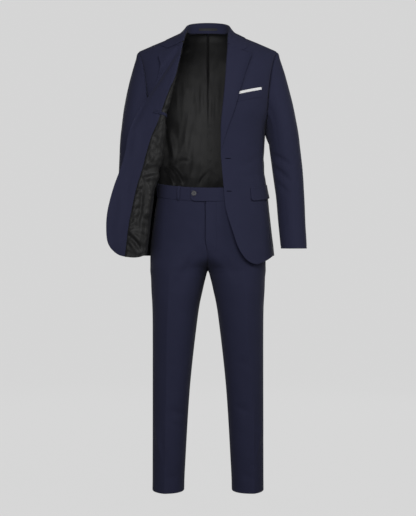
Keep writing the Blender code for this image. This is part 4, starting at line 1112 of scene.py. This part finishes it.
def body():
    """Left front, side panels, backs and their linings; the opened front is joined to its side."""
    front = spline(body_table(left_front_row, ticks(WIDTHS["front"], near="e")), ALL_TICKS)
    front = rounded(front, HEM_CORNER, "lb")
    front = moved(front, folds("front", front) + seams(front, "t") + armhole_furrow(front, "r"))

    sides, backs, linings = {}, {}, {}
    places = ticks(WIDTHS["side"], near="se")
    low = LOW_TICKS[:, None] * np.array([side_top(s) for s in places]) / ARM_ROW
    side_table = body_table(side_row, places)
    back_table = body_table(back_panel_row, ticks(WIDTHS["back"], near="se"))
    for side in (1, -1):
        panel = on_side(spline(side_table, low), side)
        sides[side] = moved(panel, folds("side", panel, panel[..., 1] * side) + seams(panel, "lrt"))
        if side < 0:
            near = 1 - smooth(reach(panel, "r"), 0, BEHIND_REACH)
            sides[side][..., 2] += BEHIND_LIFT * near * (1 - smooth(reach(panel, "b"), 0, BEHIND_RISE))
        panel = on_side(spline(back_table, ALL_TICKS), side)
        height = folds("back", panel)
        outer, centre = ("l", "r") if side > 0 else ("r", "l")
        backs[side] = moved(panel, height + seams(panel, centre + "t") + armhole_furrow(panel, outer))
        pleat = (np.clip(1 - reach(panel, centre) / PLEAT_REACH, 0, 1) ** 1.2
                 * np.interp(panel[..., 2], PLEAT_LEVELS, PLEAT_DEPTHS))
        sewn = np.minimum.reduce([reach(panel, name) for name in (outer, "t", "b")])
        slack = smooth(sewn, 0, LINING_EASE)
        puckers = np.maximum(folds("back_lining", panel), -LINING_SLACK * LINING_LEAST) * slack
        linings[side] = moved(panel, height - LINING_GAP - LINING_SLACK * slack + pleat - puckers)
    for a, b in ((front, sides[1]), (sides[1], backs[1]), (backs[1], backs[-1]),
                 (backs[-1], sides[-1]), (linings[1], linings[-1])):
        weld(a, b)
    cloth("front_left", front, inner="lining", sewn="rt", faced=FACED_COLUMNS)
    for side, name in SIDES:
        cloth("side_" + name, sides[side], inner="lining", sewn="lrt")
        cloth("back_" + name, backs[side], sewn="lrt")
        cloth("lining_back_" + name, linings[side], "lining", on="back_" + name, wall=SATIN, sewn="lrt")
    return front, sides[-1]


def armhole_furrow(points, side):
    """The furrow along a panel's outer side: deeper round the armhole than in the side seam."""
    share = smooth(points[..., 2], BODY["level"][ARM_ROW - 1], BODY["level"][ARM_ROW])
    return seams(points, side) * (1 - share) + seams(points, side, ARM_DIP, ARM_REACH) * share


def lapel():
    """Left lapel: it rolls over from the front's edge and lies on it."""
    rows, shares = np.linspace(BREAK_ROW, TIP_ROW, LAPEL_STEPS[0]), np.linspace(0, 1, LAPEL_STEPS[1])
    last = TIP_ROW - 1

    def base_point(w, r):
        place = r
        if r > last:
            place = last + (GORGE_ROW + GORGE_LIFT - last + (TIP_ROW - GORGE_ROW) * w) * (r - last)
        width = max(float(spline(BODY["lapel"], r)), BREAK_WIDTH)
        return between_rows(front_row, place, float(spline(BODY["edge"], place)) + width * w)

    base = grid(base_point, shares, rows)
    base = moved(base, folds("front", base))
    grow = smooth(rows, BREAK_ROW, BREAK_ROW + 1.5)[:, None]
    spring = smooth(rows, BREAK_ROW, TIP_ROW - 2)[:, None]
    roll = LAPEL_ROLL * grow
    laid = moved(base, LAPEL_LIE + (2 * roll - LAPEL_LIE) * np.exp(-reach(base, "l") / LAPEL_SETTLE) * grow
                 + LAPEL_SPRING * spring * np.exp(-reach(base, "r") / LAPEL_SETTLE))
    turns = np.linspace(0, math.pi, 8)[:-1]
    away = unit(base[:, :1] - base[:, 1:2])
    rolled = (base[:, :1] + normals(base)[:, :1] * (roll * (1 - np.cos(turns)))[..., None]
              + away * (roll * np.sin(turns))[..., None])
    cloth("lapel_left", np.concatenate((rolled, laid), axis=1), held="folded", on="front_left", sewn="l")


def opened_front(side_right):
    """Right front, turned open, with its facing and lining."""
    inner_places = ticks(WIDTHS["lined"], near="se") * SEAM_SHARE
    outer_places = SEAM_SHARE + ticks(WIDTHS["faced"], near="s")[1:] * (1 - SEAM_SHARE)
    places = np.concatenate((inner_places, outer_places))
    seam = len(inner_places) - 1
    last = LAPEL_END_ROW - 2
    past = np.clip((places - SEAM_SHARE) / (1 - SEAM_SHARE), 0, 1)
    rows = ALL_TICKS[:, None] + 0 * places
    rows = np.where(rows > last, last + (rows - last) * (1 - past / 2), rows)
    panel = spline(body_table(open_front_columns, places), rows) * (-1, 1, 1)
    top = int(np.argmin(abs(ALL_TICKS - LAPEL_END_ROW)))

    seam_share = np.interp(ALL_TICKS, range(TOP + 1), OPEN["facing"])[:, None]
    share = np.where(places <= SEAM_SHARE, seam_share * places / SEAM_SHARE,
                     seam_share + (1 - seam_share) * past)
    turned = smooth(share, *TURN_SHARES)
    height = folds("front", panel) * (1 - turned) - folds("facing", panel) * turned
    behind = (1 - smooth(share, *BEHIND_SHARES)) * (1 - smooth(reach(panel, "b"), 0, BEHIND_RISE))
    panel[..., 2] += BEHIND_LIFT * behind
    full = rounded(moved(panel, height), OPEN_CORNER, "rb")
    outside = moved(full, seams(full, "lt") * (share < 0.5))
    weld(side_right, outside)
    cloth("front_right", outside, sewn="lt", corner=(top, seam))

    lowered = full - normals(full) * FACING_GAP
    facing = lowered[:top + 1, seam:]
    cloth("facing_right", moved(facing, -seams(facing, "l")), held="folded", on="front_right", sewn="l")

    lining = lowered[:, :seam + 1]
    from_seam, across, level = reach(lining, "r"), lining[..., 0], lining[..., 2]
    height, place, width = SEAM_ROLL
    wave, close = SEAM_PUCKER
    crumpled, seed = LINING_CRUMPLE
    swell = ((height + wave * ripple(from_seam * close, level * close, seed))
             * hump(from_seam, place, width) * np.interp(level, SEAM_LEVELS, SEAM_SWELL))
    loose = smooth(share[:, :seam + 1], *LOOSE_SHARES) * smooth(from_seam, 0, LINING_RISE)
    creases = crumpled * (crumple(across, level, seed) - CRUMPLE_MIDDLE)
    creases = creases * np.interp(level, CRUMPLE_LEVELS, CRUMPLE_SHARES)
    flat = smooth(np.hypot(across - WELT_PLACE[0], level - WELT_PLACE[1]), *WELT_FLAT)
    puckers = (LINING_FULL + folds("front_lining", lining) + creases) * loose * flat
    cloth("lining_front_right", moved(lining, -np.maximum(puckers + swell, 0)), "lining",
          on="front_right", wall=SATIN, sewn="lrt")


def collar_stations():
    """From the right notch round the back to the left one; x is below 0 on the right."""
    scale = [1 if name in COLLAR_PLAIN else 0.001 for name in COLLAR_COLUMNS]
    left = np.array(COLLAR_BACK + COLLAR_LEFT) * scale
    right = (np.array(COLLAR_BACK + COLLAR_RIGHT) * scale)[:0:-1]
    right[:, [COLLAR_COLUMNS.index(name) for name in ("seam_x", "fold_x", "edge_x")]] *= -1
    return np.vstack((right, left))


def on_body(row, x):
    """A point of the body: rows past TOP run down the back; x below 0 is the right side."""
    if row > TOP:
        return between_rows(back_row, 2 * TOP - row, x)
    if x >= 0:
        return between_rows(front_row, row, x)

    def opened(i, x):
        share = (limit(i) - abs(x)) / (limit(i) - OPEN["fold_x"][i])
        return open_front_row(i, 0.5 * min(share, 1))
    return between_rows(opened, row, x) * (-1, 1, 1)


def off_body(row, x, distance):
    """The same point, moved outward."""
    sideways = on_body(row, x + NEARBY) - on_body(row, x - NEARBY)
    upward = on_body(row + 0.05, x) - on_body(row - 0.05, x)
    return on_body(row, x) + unit(np.cross(sideways, upward)) * distance


def collar_profile(stations, k):
    """Section of the collar: up the stand, over the fold and down the fall to its edge."""
    station = spline(stations, k)
    seam, fold, (edge_x, fold_row, edge_row, hug) = station[:3], station[3:6], station[6:]
    away = abs(k - (len(stations) - 1) / 2)
    lie, sewn = (float(np.interp(away, range(len(some)), some)) for some in (COLLAR_LIE, COLLAR_SEWN))
    seam = seam - (0, 0, sewn)
    edge = off_body(edge_row, edge_x, lie)
    out = unit((edge - fold) * (1, 1, 0)) * COLLAR_ROLL
    down = np.array((0, 0, COLLAR_ROLL))
    inner, outer = fold - out - down, fold + out - down
    fall = []
    for w in COLLAR_FALL:
        straight = outer + (edge - outer) * w
        row, x = fold_row + (edge_row - fold_row) * w, fold[0] + (edge_x - fold[0]) * w
        fall.append(straight + (off_body(row, x, lie + COLLAR_EASE) - straight) * hug)
    return [seam, (seam + inner) / 2, inner, fold, outer, *fall, edge]


def collar():
    stations = collar_stations()
    end = len(stations) - 1
    profiles = np.array([collar_profile(stations, k) for k in np.linspace(0, end, COLLAR_STEPS)])
    profiles = profiles.transpose(1, 0, 2)
    lengths = np.linalg.norm(np.diff(profiles, axis=0), axis=-1).mean(axis=1)
    fine = np.concatenate([k + np.linspace(0, 1, max(round(length / COLLAR_STEP), 2), endpoint=False)
                           for k, length in enumerate(lengths)] + [[len(lengths)]])
    cloth("collar", spline(profiles, fine[::-1]).transpose(1, 0, 2), held="folded", on="back_left")

    def stand(f, k):
        profile = collar_profile(stations, k)
        return profile[0] + (profile[2] - profile[0]) * f
    tape = grid(stand, np.linspace(*TAPE_EDGES[::-1], TAPE_GRID[0]),
                np.linspace(end / 2 - TAPE_REACH, end / 2 + TAPE_REACH, TAPE_GRID[1]))
    cloth("hanger_loop", moved(tape, TAPE_LIFT), "tape", held="laid", wall=SATIN)


# -------- sleeves

def armhole(side):
    """The armhole from the crown to the underarm, front (1) or back (-1), evenly spaced by length."""
    row_point, face, end = (front_row, "front", 0) if side > 0 else (back_row, "back", 1)
    down, under = np.linspace(TOP, ARM_ROW, ARMHOLE_STEPS[0]), np.linspace(end, 0.5, ARMHOLE_STEPS[1])
    points = [between_rows(lambda i: row_point(i, limit(i, face)), r) for r in down]
    points += [between_rows(side_row, side_top(s), s) for s in under[1:]]
    lengths = distances(points)
    return np.array(points), lengths / lengths[-1]


def sleeve_row(side, holes, around, t):
    """One ring of a sleeve, at these places around it: 0 is the crown, 1 the underarm."""
    around = np.where(around > 1, around - 2, around)
    name = "left" if side > 0 else "right"

    def ring(q):
        angle = math.pi * around
        return np.stack((spline(SLEEVE[name + "_x"], q) + spline(SLEEVE["half_width"], q) * np.cos(angle),
                         spline(SLEEVE[name + "_y"], q) - spline(SLEEVE["half_depth"], q) * np.sin(angle),
                         spline(SLEEVE["level"], q) + 0 * angle), axis=-1)
    if t >= CAP_RINGS:
        return ring(t - CAP_RINGS)
    start = np.where((around >= 0)[:, None], *(
        np.stack([np.interp(abs(around), holes[k][1], holes[k][0][:, axis]) for axis in range(3)], axis=-1)
        for k in (1, -1)))
    end = ring(0)
    span = np.linalg.norm(end - start, axis=-1, keepdims=True)
    forward = np.sin(math.pi * around)
    leave = np.stack((CAP_OUT[0] + CAP_OUT[1] * abs(forward), -CAP_FORWARD * forward,
                      -CAP_DOWN + 0 * forward), axis=-1)
    return hermite(start, leave * span, end, unit(ring(0.2) - end) * span, t / CAP_RINGS)


def sleeves():
    holes = {k: armhole(k) for k in (1, -1)}
    upper = ticks(WIDTHS["top_sleeve"], near="se") * 2 * SLEEVE_SEAM - SLEEVE_SEAM
    under = SLEEVE_SEAM + ticks(WIDTHS["under_sleeve"], near="se")[1:] * 2 * (1 - SLEEVE_SEAM)
    around = np.concatenate((upper, under))
    split = len(upper) - 1
    last = CAP_RINGS + len(SLEEVE_ROWS) - 1
    crown = np.cos(np.clip(np.where(around > 1, 2 - around, abs(around)), 0, 0.5) * math.pi)
    girth = around * SLEEVE_GIRTH / 2
    girth = np.where(girth > SLEEVE_GIRTH / 2, girth - SLEEVE_GIRTH, girth)
    above, depth, width = CUFF_LINE
    for side, name in SIDES:
        coarse = np.array([sleeve_row(side, holes, around, t) for t in range(last + 1)])
        rows = ticks(*row_lengths(coarse), near="s", end=CUFF_NEAR)
        points = np.array([sleeve_row(side, holes, around, t) for t in rows])
        down = reach(points, "b")
        height = (folds("sleeve_" + name, points, girth + 0 * down)
                  + ROPE * np.clip(crown, 0, 1) * hump(down, ROPE_PLACE, ROPE_WIDTH)
                  - SLEEVE_TUCK * np.clip(1 - down / ARM_REACH, 0, 1) ** 2
                  - depth * hump(reach(points, "t"), above, width))
        points = moved(points, height + split_seams(points, split, SLEEVE_DIP), ring=True)
        points[:, -1] = points[:, 0]
        inward = np.array((0, MID_Y, 0)) - points[:1]
        inward[..., 2] = -TURNING_FALL
        turning = points[:1] + unit(inward) * SLEEVE_TURNING
        spread = unit(points[:1] - points[:1].mean(axis=1, keepdims=True)) * TURNING_SPREAD
        points = np.concatenate((turning + spread, turning, points))
        top, lower = points[:, :split + 1], points[:, split:]
        for piece, on, part in (("top", "front", top), ("under", "side", lower)):
            cloth(f"sleeve_{name}_{piece}", on_side(part, side), inner="lining", on=f"{on}_{name}",
                  sewn="lrb")


# -------- pockets

def on_front(x, z):
    """The point of the closed front with this x and z."""
    return between_rows(front_row, halved(lambda r: between_rows(front_row, r, x)[2], z, float(TOP)), x)


def lapel_edge(z):
    """How far out the left lapel's edge lies at this height."""
    row = level_row(z)
    return float(spline(BODY["edge"], row) + spline(BODY["lapel"], row))


def breast_strip(outer, low, high, columns, rows):
    """A strip of the left front along the mouth of the breast pocket, from the lapel's edge
    outward; low and high are heights above the mouth."""
    inner, end, inner_z, end_z, _ = WELT
    slope = (end_z - inner_z) / (end - inner)

    def point(share, height):
        start = lapel_edge(inner_z + height) + WELT_CLEAR
        x = start + (outer - start) * share
        return on_front(x, inner_z + slope * (x - inner) + height)
    points = grid(point, np.linspace(0, 1, columns), np.linspace(low, high, rows))
    return moved(points, folds("front", points))


def round_body(angle, z):
    """A point of the closed body at an angle from the centre front, between hem and chest."""
    sizes = (float(spline(BODY[name], level_row(z))) for name in ("half", "front", "back"))
    return np.array((*round_section(math.radians(angle), *sizes), z))


def flap_top(angle):
    return FLAP_TOP + FLAP_RISE * min((angle - FLAP_ANGLES[0]) / (90 - FLAP_ANGLES[0]), 1)


def pockets():
    outer, height = WELT[1], WELT[-1]
    welt = moved(breast_strip(outer, -height, 0, *WELT_GRID), WELT_LIFT)
    cloth("breast_welt", welt, held="laid", on="front_left")
    square = breast_strip(outer - SQUARE_INSET, -SQUARE_TUCK, SQUARE_HEIGHT, *SQUARE_GRID)
    square = rounded(moved(square, SQUARE_LIFT), SQUARE_CORNER, "lt", "rt")
    cloth("pocket_square", square, "linen", held="folded", on="breast_welt", wall=SATIN)

    def left(angle, depth):
        return round_body(angle, flap_top(angle) - depth)

    def right(s, depth):
        return on_opened(level_row(FLAP_TOP - depth), s)

    for name, point, ends in (("left", left, FLAP_ANGLES), ("right", right, FLAP_SHARES)):
        places = np.linspace(*ends, FLAP_GRID[0])
        up = np.linspace(0, 1, JET_ROWS)
        jet = grid(point, places, JET_HEIGHT * (1 - up))
        bulge = np.sin(up * math.pi)[:, None] * JET_CROWN + 0 * places
        cloth("jet_" + name, moved(jet, JET_LIFT + bulge), held="laid", on="front_" + name)
        depths = JET_HEIGHT + SEAM + FLAP_HANG * np.linspace(1, 0, FLAP_GRID[1])
        hang = (depths - JET_HEIGHT) / FLAP_HANG
        lift = FLAP_LIFT + FLAP_STAND * hang[:, None] ** 1.5 + 0 * places
        flap = rounded(moved(grid(point, places, depths), lift), FLAP_CORNER, "lb", "rb")
        cloth("flap_" + name, flap, on="jet_" + name)

    start, start_row, stop, stop_row, height = INSIDE_WELT
    across, up = (np.linspace(0, 1, count) for count in INSIDE_GRID)
    welt = grid(lambda u, v: on_opened(start_row + (stop_row - start_row) * u + height * v,
                                       start + (stop - start) * u), across[::-1], up)
    lips = abs(np.sin(2 * math.pi * up)) ** 0.6
    lift = INSIDE_LIFT + INSIDE_LIP * (lips - 1)[:, None] + 0 * across
    cloth("inside_pocket_welt", moved(welt, lift), held="laid", on="facing_right")


# -------- trousers

def leg_section(q):
    return [spline(LEG[name], q) for name in LEG_COLUMNS[1:5]]


def leg_angle(q):
    """Angle at which a section meets the centre seam; 0 where the leg stands clear."""
    centre, _, half, _ = leg_section(q)
    ratio = (centre - LEG_CLEAR) / half
    return math.acos(min(max(ratio, 0), 1) ** (LEG_ROUND / 2)) if ratio < 1 else 0.0


def waist_rise(y):
    return WAIST_SLOPE * y - WAIST_BOW * y * y


def leg_ring(q, angles):
    """Round a leg: 0 is the inside, 90 degrees the front, 180 the outside."""
    centre_x, centre_y, half, depth = leg_section(q)
    x = centre_x - half * squared(np.cos(angles), LEG_ROUND)
    y = centre_y - depth * squared(np.sin(angles), LEG_ROUND)
    z = spline(LEG["level"], q) + waist_rise(y) * spline(LEG["tilt"], q)
    return np.stack((x, y, z), axis=-1)


def crease_angle(q, name, back=False):
    """Where the pressed crease runs, as an angle round the leg."""
    x = np.interp(float(spline(LEG["level"], q)), CREASE["level"], CREASE["back" if back else name])
    centre, _, half, _ = leg_section(q)
    angle = math.pi / 2 + math.asin(((x - centre) / half) ** (LEG_ROUND / 2))
    return 2 * math.pi - angle if back else angle


def fly_edge(level):
    """How far the fly's edge lies from the centre seam at this level."""
    return FLY_EDGE * smooth(level, FLY_TOP - FLY_LENGTH, FLY_TOP - FLY_LENGTH + FLY_TURN)


def legs():
    first = ticks(WIDTHS["leg_inside"], start=FLY_NEAR, near="e")
    share = ticks(WIDTHS["leg"], near="se")
    front_crease = len(first) - 1
    seam, back_crease = (front_crease + k * (len(share) - 1) for k in (1, 2))
    coarse = np.array([leg_ring(q, np.linspace(leg_angle(q), math.pi, 5)) for q in range(BAND_ROW + 1)])
    rows = ticks(*row_lengths(coarse), near="e")
    out, along = FOLDS_CLEAR
    for side, name in SIDES:
        points = []
        for q in rows:
            start = leg_angle(q)
            marks = (start, crease_angle(q, name), math.pi, crease_angle(q, name, back=True),
                     2 * math.pi - start)
            angles = np.concatenate([a + (b - a) * part[:-1] for a, b, part in
                                     zip(marks, marks[1:], (first, share, share, share))] + [marks[-1:]])
            points.append(leg_ring(q, angles))
        points = np.array(points)
        level, inside = points[..., 2], reach(points, "l")
        height = sum(CREASE_HEIGHT * np.exp(-abs(inside - inside[:, k:k + 1]) / CREASE_REACH)
                     for k in (front_crease, back_crease)) * (1 - smooth(level, *CREASE_TOPS))
        away = points[..., 1] - spline(LEG["centre_y"], rows)[:, None]
        clear = smooth(abs(away), 0, out) * smooth(inside, 0, along) * smooth(reach(points, "r"), 0, along)
        for part, some in (("trouser_front", away < 0), ("trouser_back", away >= 0)):
            height = height + folds(part, points, points[..., 0] * side) * some * clear
        if side < 0:
            depth, width = FLY_GROOVE
            edge = fly_edge(level)
            height = height - (depth * hump(points[..., 0], edge + width, width) * (away < 0)
                               * (edge > 0) * smooth(level, *GROOVE_LEVELS))
        normal = normals(points)
        for k in (0, -1):
            normal[:, k] = np.where(level[:, :1] > FORK, unit(normal[:, k] * (0, 1, 1)), (-1, 0, 0))
        height = height + split_seams(points, seam) + seams(points, "t", BAND_FURROW)
        points = points + normal * height[..., None]
        for piece, part in (("front", points[:, :seam + 1]), ("back", points[:, seam:])):
            cloth(f"trouser_{piece}_{name}", on_side(part, side), on="waistband_" + name, sewn="lrt")


def band_point(angle, height):
    """Round the waistband: angle from the centre front, towards the left side."""
    q = BAND_ROW + height
    _, centre_y, half, depth = leg_section(q)
    y = centre_y - depth * squared(math.cos(angle), LEG_ROUND)
    return np.array((half * squared(math.sin(angle), LEG_ROUND), y, spline(LEG["level"], q) + waist_rise(y)))


def waist_angle(x):
    half = LEG["half_width"][-1]
    return math.copysign(math.asin((abs(x) / half) ** (LEG_ROUND / 2)), x)


def band(angles):
    return grid(band_point, angles, (BAND_UNDER, *np.linspace(0, 1, BAND_ROWS)))


def waistband():
    right = band(np.linspace(math.pi, 2 * math.pi - BAND_SHORT, BAND_COLUMNS["right"]))
    right = moved(right, BAND_LIFT + folds("waistband", right))
    cloth("waistband_right", right, held="laid", on="trouser_front_right", wall=BAND_WALL, sewn="lrb")
    angles = np.concatenate((np.linspace(waist_angle(TAB_END), 0, BAND_COLUMNS["tab"])[:-1],
                             np.linspace(0, math.pi, BAND_COLUMNS["left"])))
    left = band(angles)
    over = TAB_LIFT * (1 - smooth(angles, TAB_SLOPE * 0.2, TAB_SLOPE * 2))
    left = rounded(moved(left, BAND_LIFT + over[None, :] + folds("waistband", left)), TAB_ROUND, "lb")
    return cloth("waistband_left", left, held="laid", on="trouser_front_left", wall=BAND_WALL, sewn="r")


def fly():
    shares, rows = (np.linspace(0, 1, count) for count in FLY_GRID)

    def front(x, q):
        centre_x, centre_y, half, depth = leg_section(q)
        y = centre_y - depth * oval((max(abs(x), 0.001) - centre_x) / half, LEG_ROUND)
        return x, y, spline(LEG["level"], q) + waist_rise(y) * spline(LEG["tilt"], q)

    def point(w, t):
        width = FLY_WIDTH * math.sqrt(max(1 - max(1 - t / FLY_ROUND, 0) ** 2, 0.0025))
        level = FLY_TOP - FLY_LENGTH * (1 - t)
        x = width * w - fly_edge(level)
        return front(x, halved(lambda q: front(x, q)[2], level, float(BAND_ROW), steps=19))

    flat = np.maximum(smooth(shares, *FLY_FLAT[0]), (1 - smooth(rows, *FLY_FLAT[1]))[:, None])
    points = moved(grid(point, shares, rows), FLY_LIFT + (FLY_SINK - FLY_LIFT) * flat)
    return cloth("fly", points, held="laid", on="trouser_front_left", sewn="rt")


def belt_loops():
    half = LOOP_WIDTH / 2 / LEG["half_width"][-1]
    rows = np.linspace(0, len(LOOP_STEPS) - 1, LOOP_GRID[1])
    across = np.linspace(-1, 1, LOOP_GRID[0])
    stand = spline(LOOP_STAND, rows)[:, None] + LOOP_CROWN * (1 - across ** 2)
    for number, degrees in enumerate(LOOP_ANGLES, 1):
        angle = math.radians(degrees)
        share = LOOP_SHORT if math.cos(angle) < 0 else 1
        points = grid(lambda s, q: band_point(angle + half * s, share * float(spline(LOOP_STEPS, q))),
                      across, rows)
        flat = 1 if math.cos(angle) > LOOP_FRONT else LOOP_FLAT
        cloth(f"belt_loop_{number}", moved(points, BAND_LIFT + SKIN + stand * flat), held="laid",
              on="waistband_left")


# -------- buttons and stitches

def bored(made, diameter):
    """Cuts the button's four holes."""
    cutter = bmesh.new()
    offset, radius = HOLE_OFFSET * diameter, HOLE_RADIUS * diameter
    for x, y in HOLE_SIGNS:
        place = Matrix.Translation((x * offset, y * offset, 0))
        bmesh.ops.create_cone(cutter, cap_ends=True, segments=HOLE_TURNS, radius1=radius,
                              radius2=radius, depth=4 * BUTTON_THICKNESS, matrix=place)
    mesh = bpy.data.meshes.new("cutter")
    cutter.to_mesh(mesh)
    cutter.free()
    tool = add_object("cutter", mesh, SUIT)
    made.modifiers.new("holes", "BOOLEAN").object = tool
    bpy.context.view_layer.update()
    whole = bpy.data.meshes.new_from_object(made.evaluated_get(bpy.context.evaluated_depsgraph_get()))
    made.modifiers.clear()
    made.data = whole
    bpy.data.objects.remove(tool)


def button(node, centre, away, diameter):
    """A four-hole button with a raised rim, and the crossed thread that holds it."""
    profile = np.array(BUTTON_PROFILE)[1:-1] * (diameter / 2, BUTTON_THICKNESS)
    made = add_mesh("made_" + node, *lathe(profile, BUTTON_TURNS), ("button",))
    bored(made, diameter)
    made.data.shade_smooth()
    made.data.set_sharp_from_angle(angle=math.radians(40))
    turned = Vector(away).to_track_quat("Z", "Y").to_matrix().to_4x4()
    turned.translation = Vector(centre)
    made.data.transform(turned)
    declare(made, (node,))

    offset, face = HOLE_OFFSET * diameter, BUTTON_PROFILE[-1][1] * BUTTON_THICKNESS
    threads = []
    for x, y in HOLE_SIGNS[:2]:
        path = [(x * offset * share, y * offset * share, face + rise) for share, rise in THREAD_PATH]
        threads.append(tube(path, THREAD, np.array((y, -x, 0.0))))
    cords(f"made_{node}_thread", threads, "thread", turned)


def buttonhole(surface, start, end):
    """Thread round a slit, and a near-black tube of painted shade along the slit itself, between two places
    (x, z) of a surface.
    """
    start, end = np.array(start), np.array(end)
    middle, half = (start + end) / 2, np.linalg.norm(end - start) / 2
    way = (end - start) / (2 * half)
    across = np.array((-way[1], way[0]))
    turns = np.linspace(0, 2 * math.pi, HOLE_STEPS[0], endpoint=False)
    path = [middle + way * half * math.cos(a) + across * HOLE_HALF * math.sin(a) for a in turns]
    ring, normal = laid_on(surface, path, SKIN / 2)
    line = [start + (end - start) * t for t in np.linspace(*SLIT_ENDS, HOLE_STEPS[1])]
    slit, slit_normal = laid_on(surface, line, SKIN / 2)
    return tube(ring, THREAD, normal, closed=True), tube(slit, SLIT, slit_normal)


def stitches(surface, path):
    """Short straight stitches along a path of (x, z) places on a surface."""
    path = np.array(path)
    lengths = distances(path)
    made = []
    for start in np.arange(0, lengths[-1] - STITCH, STITCH + STITCH_GAP):
        spots = start + STITCH * np.linspace(0, 1, len(STITCH_PATH))
        places = np.stack([np.interp(spots, lengths, path[:, k]) for k in (0, 1)], axis=-1)
        points, normal = laid_on(surface, places, SKIN / 2)
        points += normal * (THREAD * np.array(STITCH_PATH))[:, None]
        made.append(tube(points, THREAD * STITCH_THREAD, normal, 6))
    return made


def sewn_details(front, tab, fly_grid):
    """Buttonholes, and the line of stitches that holds the fly."""
    holes = [(front, *ends) for ends in BUTTONHOLES] + [(tab, *TAB_HOLE)]
    rings, slits = zip(*(buttonhole(*hole) for hole in holes))
    cords("buttonhole_thread", rings, "thread")
    # the slits are near-black tubes of painted shade
    cords("buttonhole_slits", slits, "slit")
    rows, columns = fly_grid.shape[:2]
    top, bottom = FLY_STITCH_ENDS
    line = [at(fly_grid, j, FLY_STITCH * (columns - 1))[[0, 2]] for j in np.linspace(rows - top, bottom, 40)]
    cords("fly_stitches", stitches(fly_grid, line), "thread")


def buttons():
    for number, height in enumerate(BUTTON_HEIGHTS, 1):
        place, beside = (on_opened(level_row(height), s) for s in (BUTTON_PLACE, BUTTON_PLACE + 0.02))
        away = unit(np.cross(beside - place, (0, 0, 1)))
        button(f"button_front_{number}", place + away * SKIN, away, BUTTON_DIAMETER)
    place = band_point(waist_angle(TAB_BUTTON[0]), 0.5)
    away = unit(place * (0.4, 1, 0))      # the waist is flatter than a circle here
    button("button_waist", place + away * (BAND_LIFT + TAB_LIFT + BAND_WALL / 2), away, TAB_BUTTON[1])


def main():
    front, side_right = body()
    lapel()
    opened_front(side_right)
    collar()
    sleeves()
    pockets()
    legs()
    tab = waistband()
    fly_grid = fly()
    belt_loops()
    buttons()
    sewn_details(front, tab, fly_grid)


SUIT = bpy.data.collections.new("suit")
bpy.context.scene.collection.children.link(SUIT)
MATERIALS = {name: cloth_material(name, *look) for name, look in LOOKS.items()}
MATERIALS |= {name: plain_material(name, *look) for name, look in PLAIN_LOOKS.items()}
LOW_TICKS, ALL_TICKS = body_ticks()
main()


# -------- studio

def backdrop():
    """A pale round floor that curves up into a wall all round; it glows, so it needs no light."""
    line = [(0.05, FLOOR), (FLOOR_RADIUS, FLOOR)]
    line += [(FLOOR_RADIUS + FLOOR_CURVE * math.sin(a), FLOOR + FLOOR_CURVE - FLOOR_CURVE * math.cos(a))
             for a in np.linspace(0, math.pi / 2, 17)[1:]]
    line += [(FLOOR_RADIUS + FLOOR_CURVE, FLOOR + WALL_HEIGHT)]
    points, faces = lathe(line, FLOOR_TURNS, top=False)
    mesh = bpy.data.meshes.new("backdrop")
    mesh.from_pydata(points, [], faces)
    paper = plain_material("paper", (PAPER_SHADE,) * 3, 0.9, 0.0)
    fill(paper.node_tree.nodes["Principled BSDF"],
         {"Emission Color": (1, 1, 1, 1), "Emission Strength": PAPER_GLOW})
    mesh.materials.append(paper)
    mesh.shade_smooth()
    made = add_object("backdrop", mesh)
    made.visible_diffuse = made.visible_glossy = made.visible_shadow = False


def area_light(name, place, target, width, height, power):
    light = bpy.data.lights.new(name, "AREA")
    light.shape = "RECTANGLE"
    light.size, light.size_y, light.energy = width, height, power
    made = add_object(name, light)
    made.location = place
    made.rotation_euler = (Vector(target) - Vector(place)).to_track_quat("-Z", "Y").to_euler()
    made.visible_camera = False


backdrop()
for light in LIGHTS:
    area_light(*light)
world = bpy.data.worlds.new("studio")
world.use_nodes = True
fill(world.node_tree.nodes["Background"], {"Color": (1, 1, 1, 1), "Strength": WORLD})
bpy.context.scene.world = world
bpy.context.scene.view_settings.view_transform = "Standard"

camera = add_object("camera", bpy.data.cameras.new("camera"))
camera.data.sensor_fit = "VERTICAL"
camera.data.sensor_height = 36
camera.data.lens = 36 * VIEW_DISTANCE / VIEW_HEIGHT
camera.location = (0, -VIEW_DISTANCE, VIEW_LEVEL)
camera.rotation_euler = (math.pi / 2, 0, 0)
bpy.context.scene.camera = camera
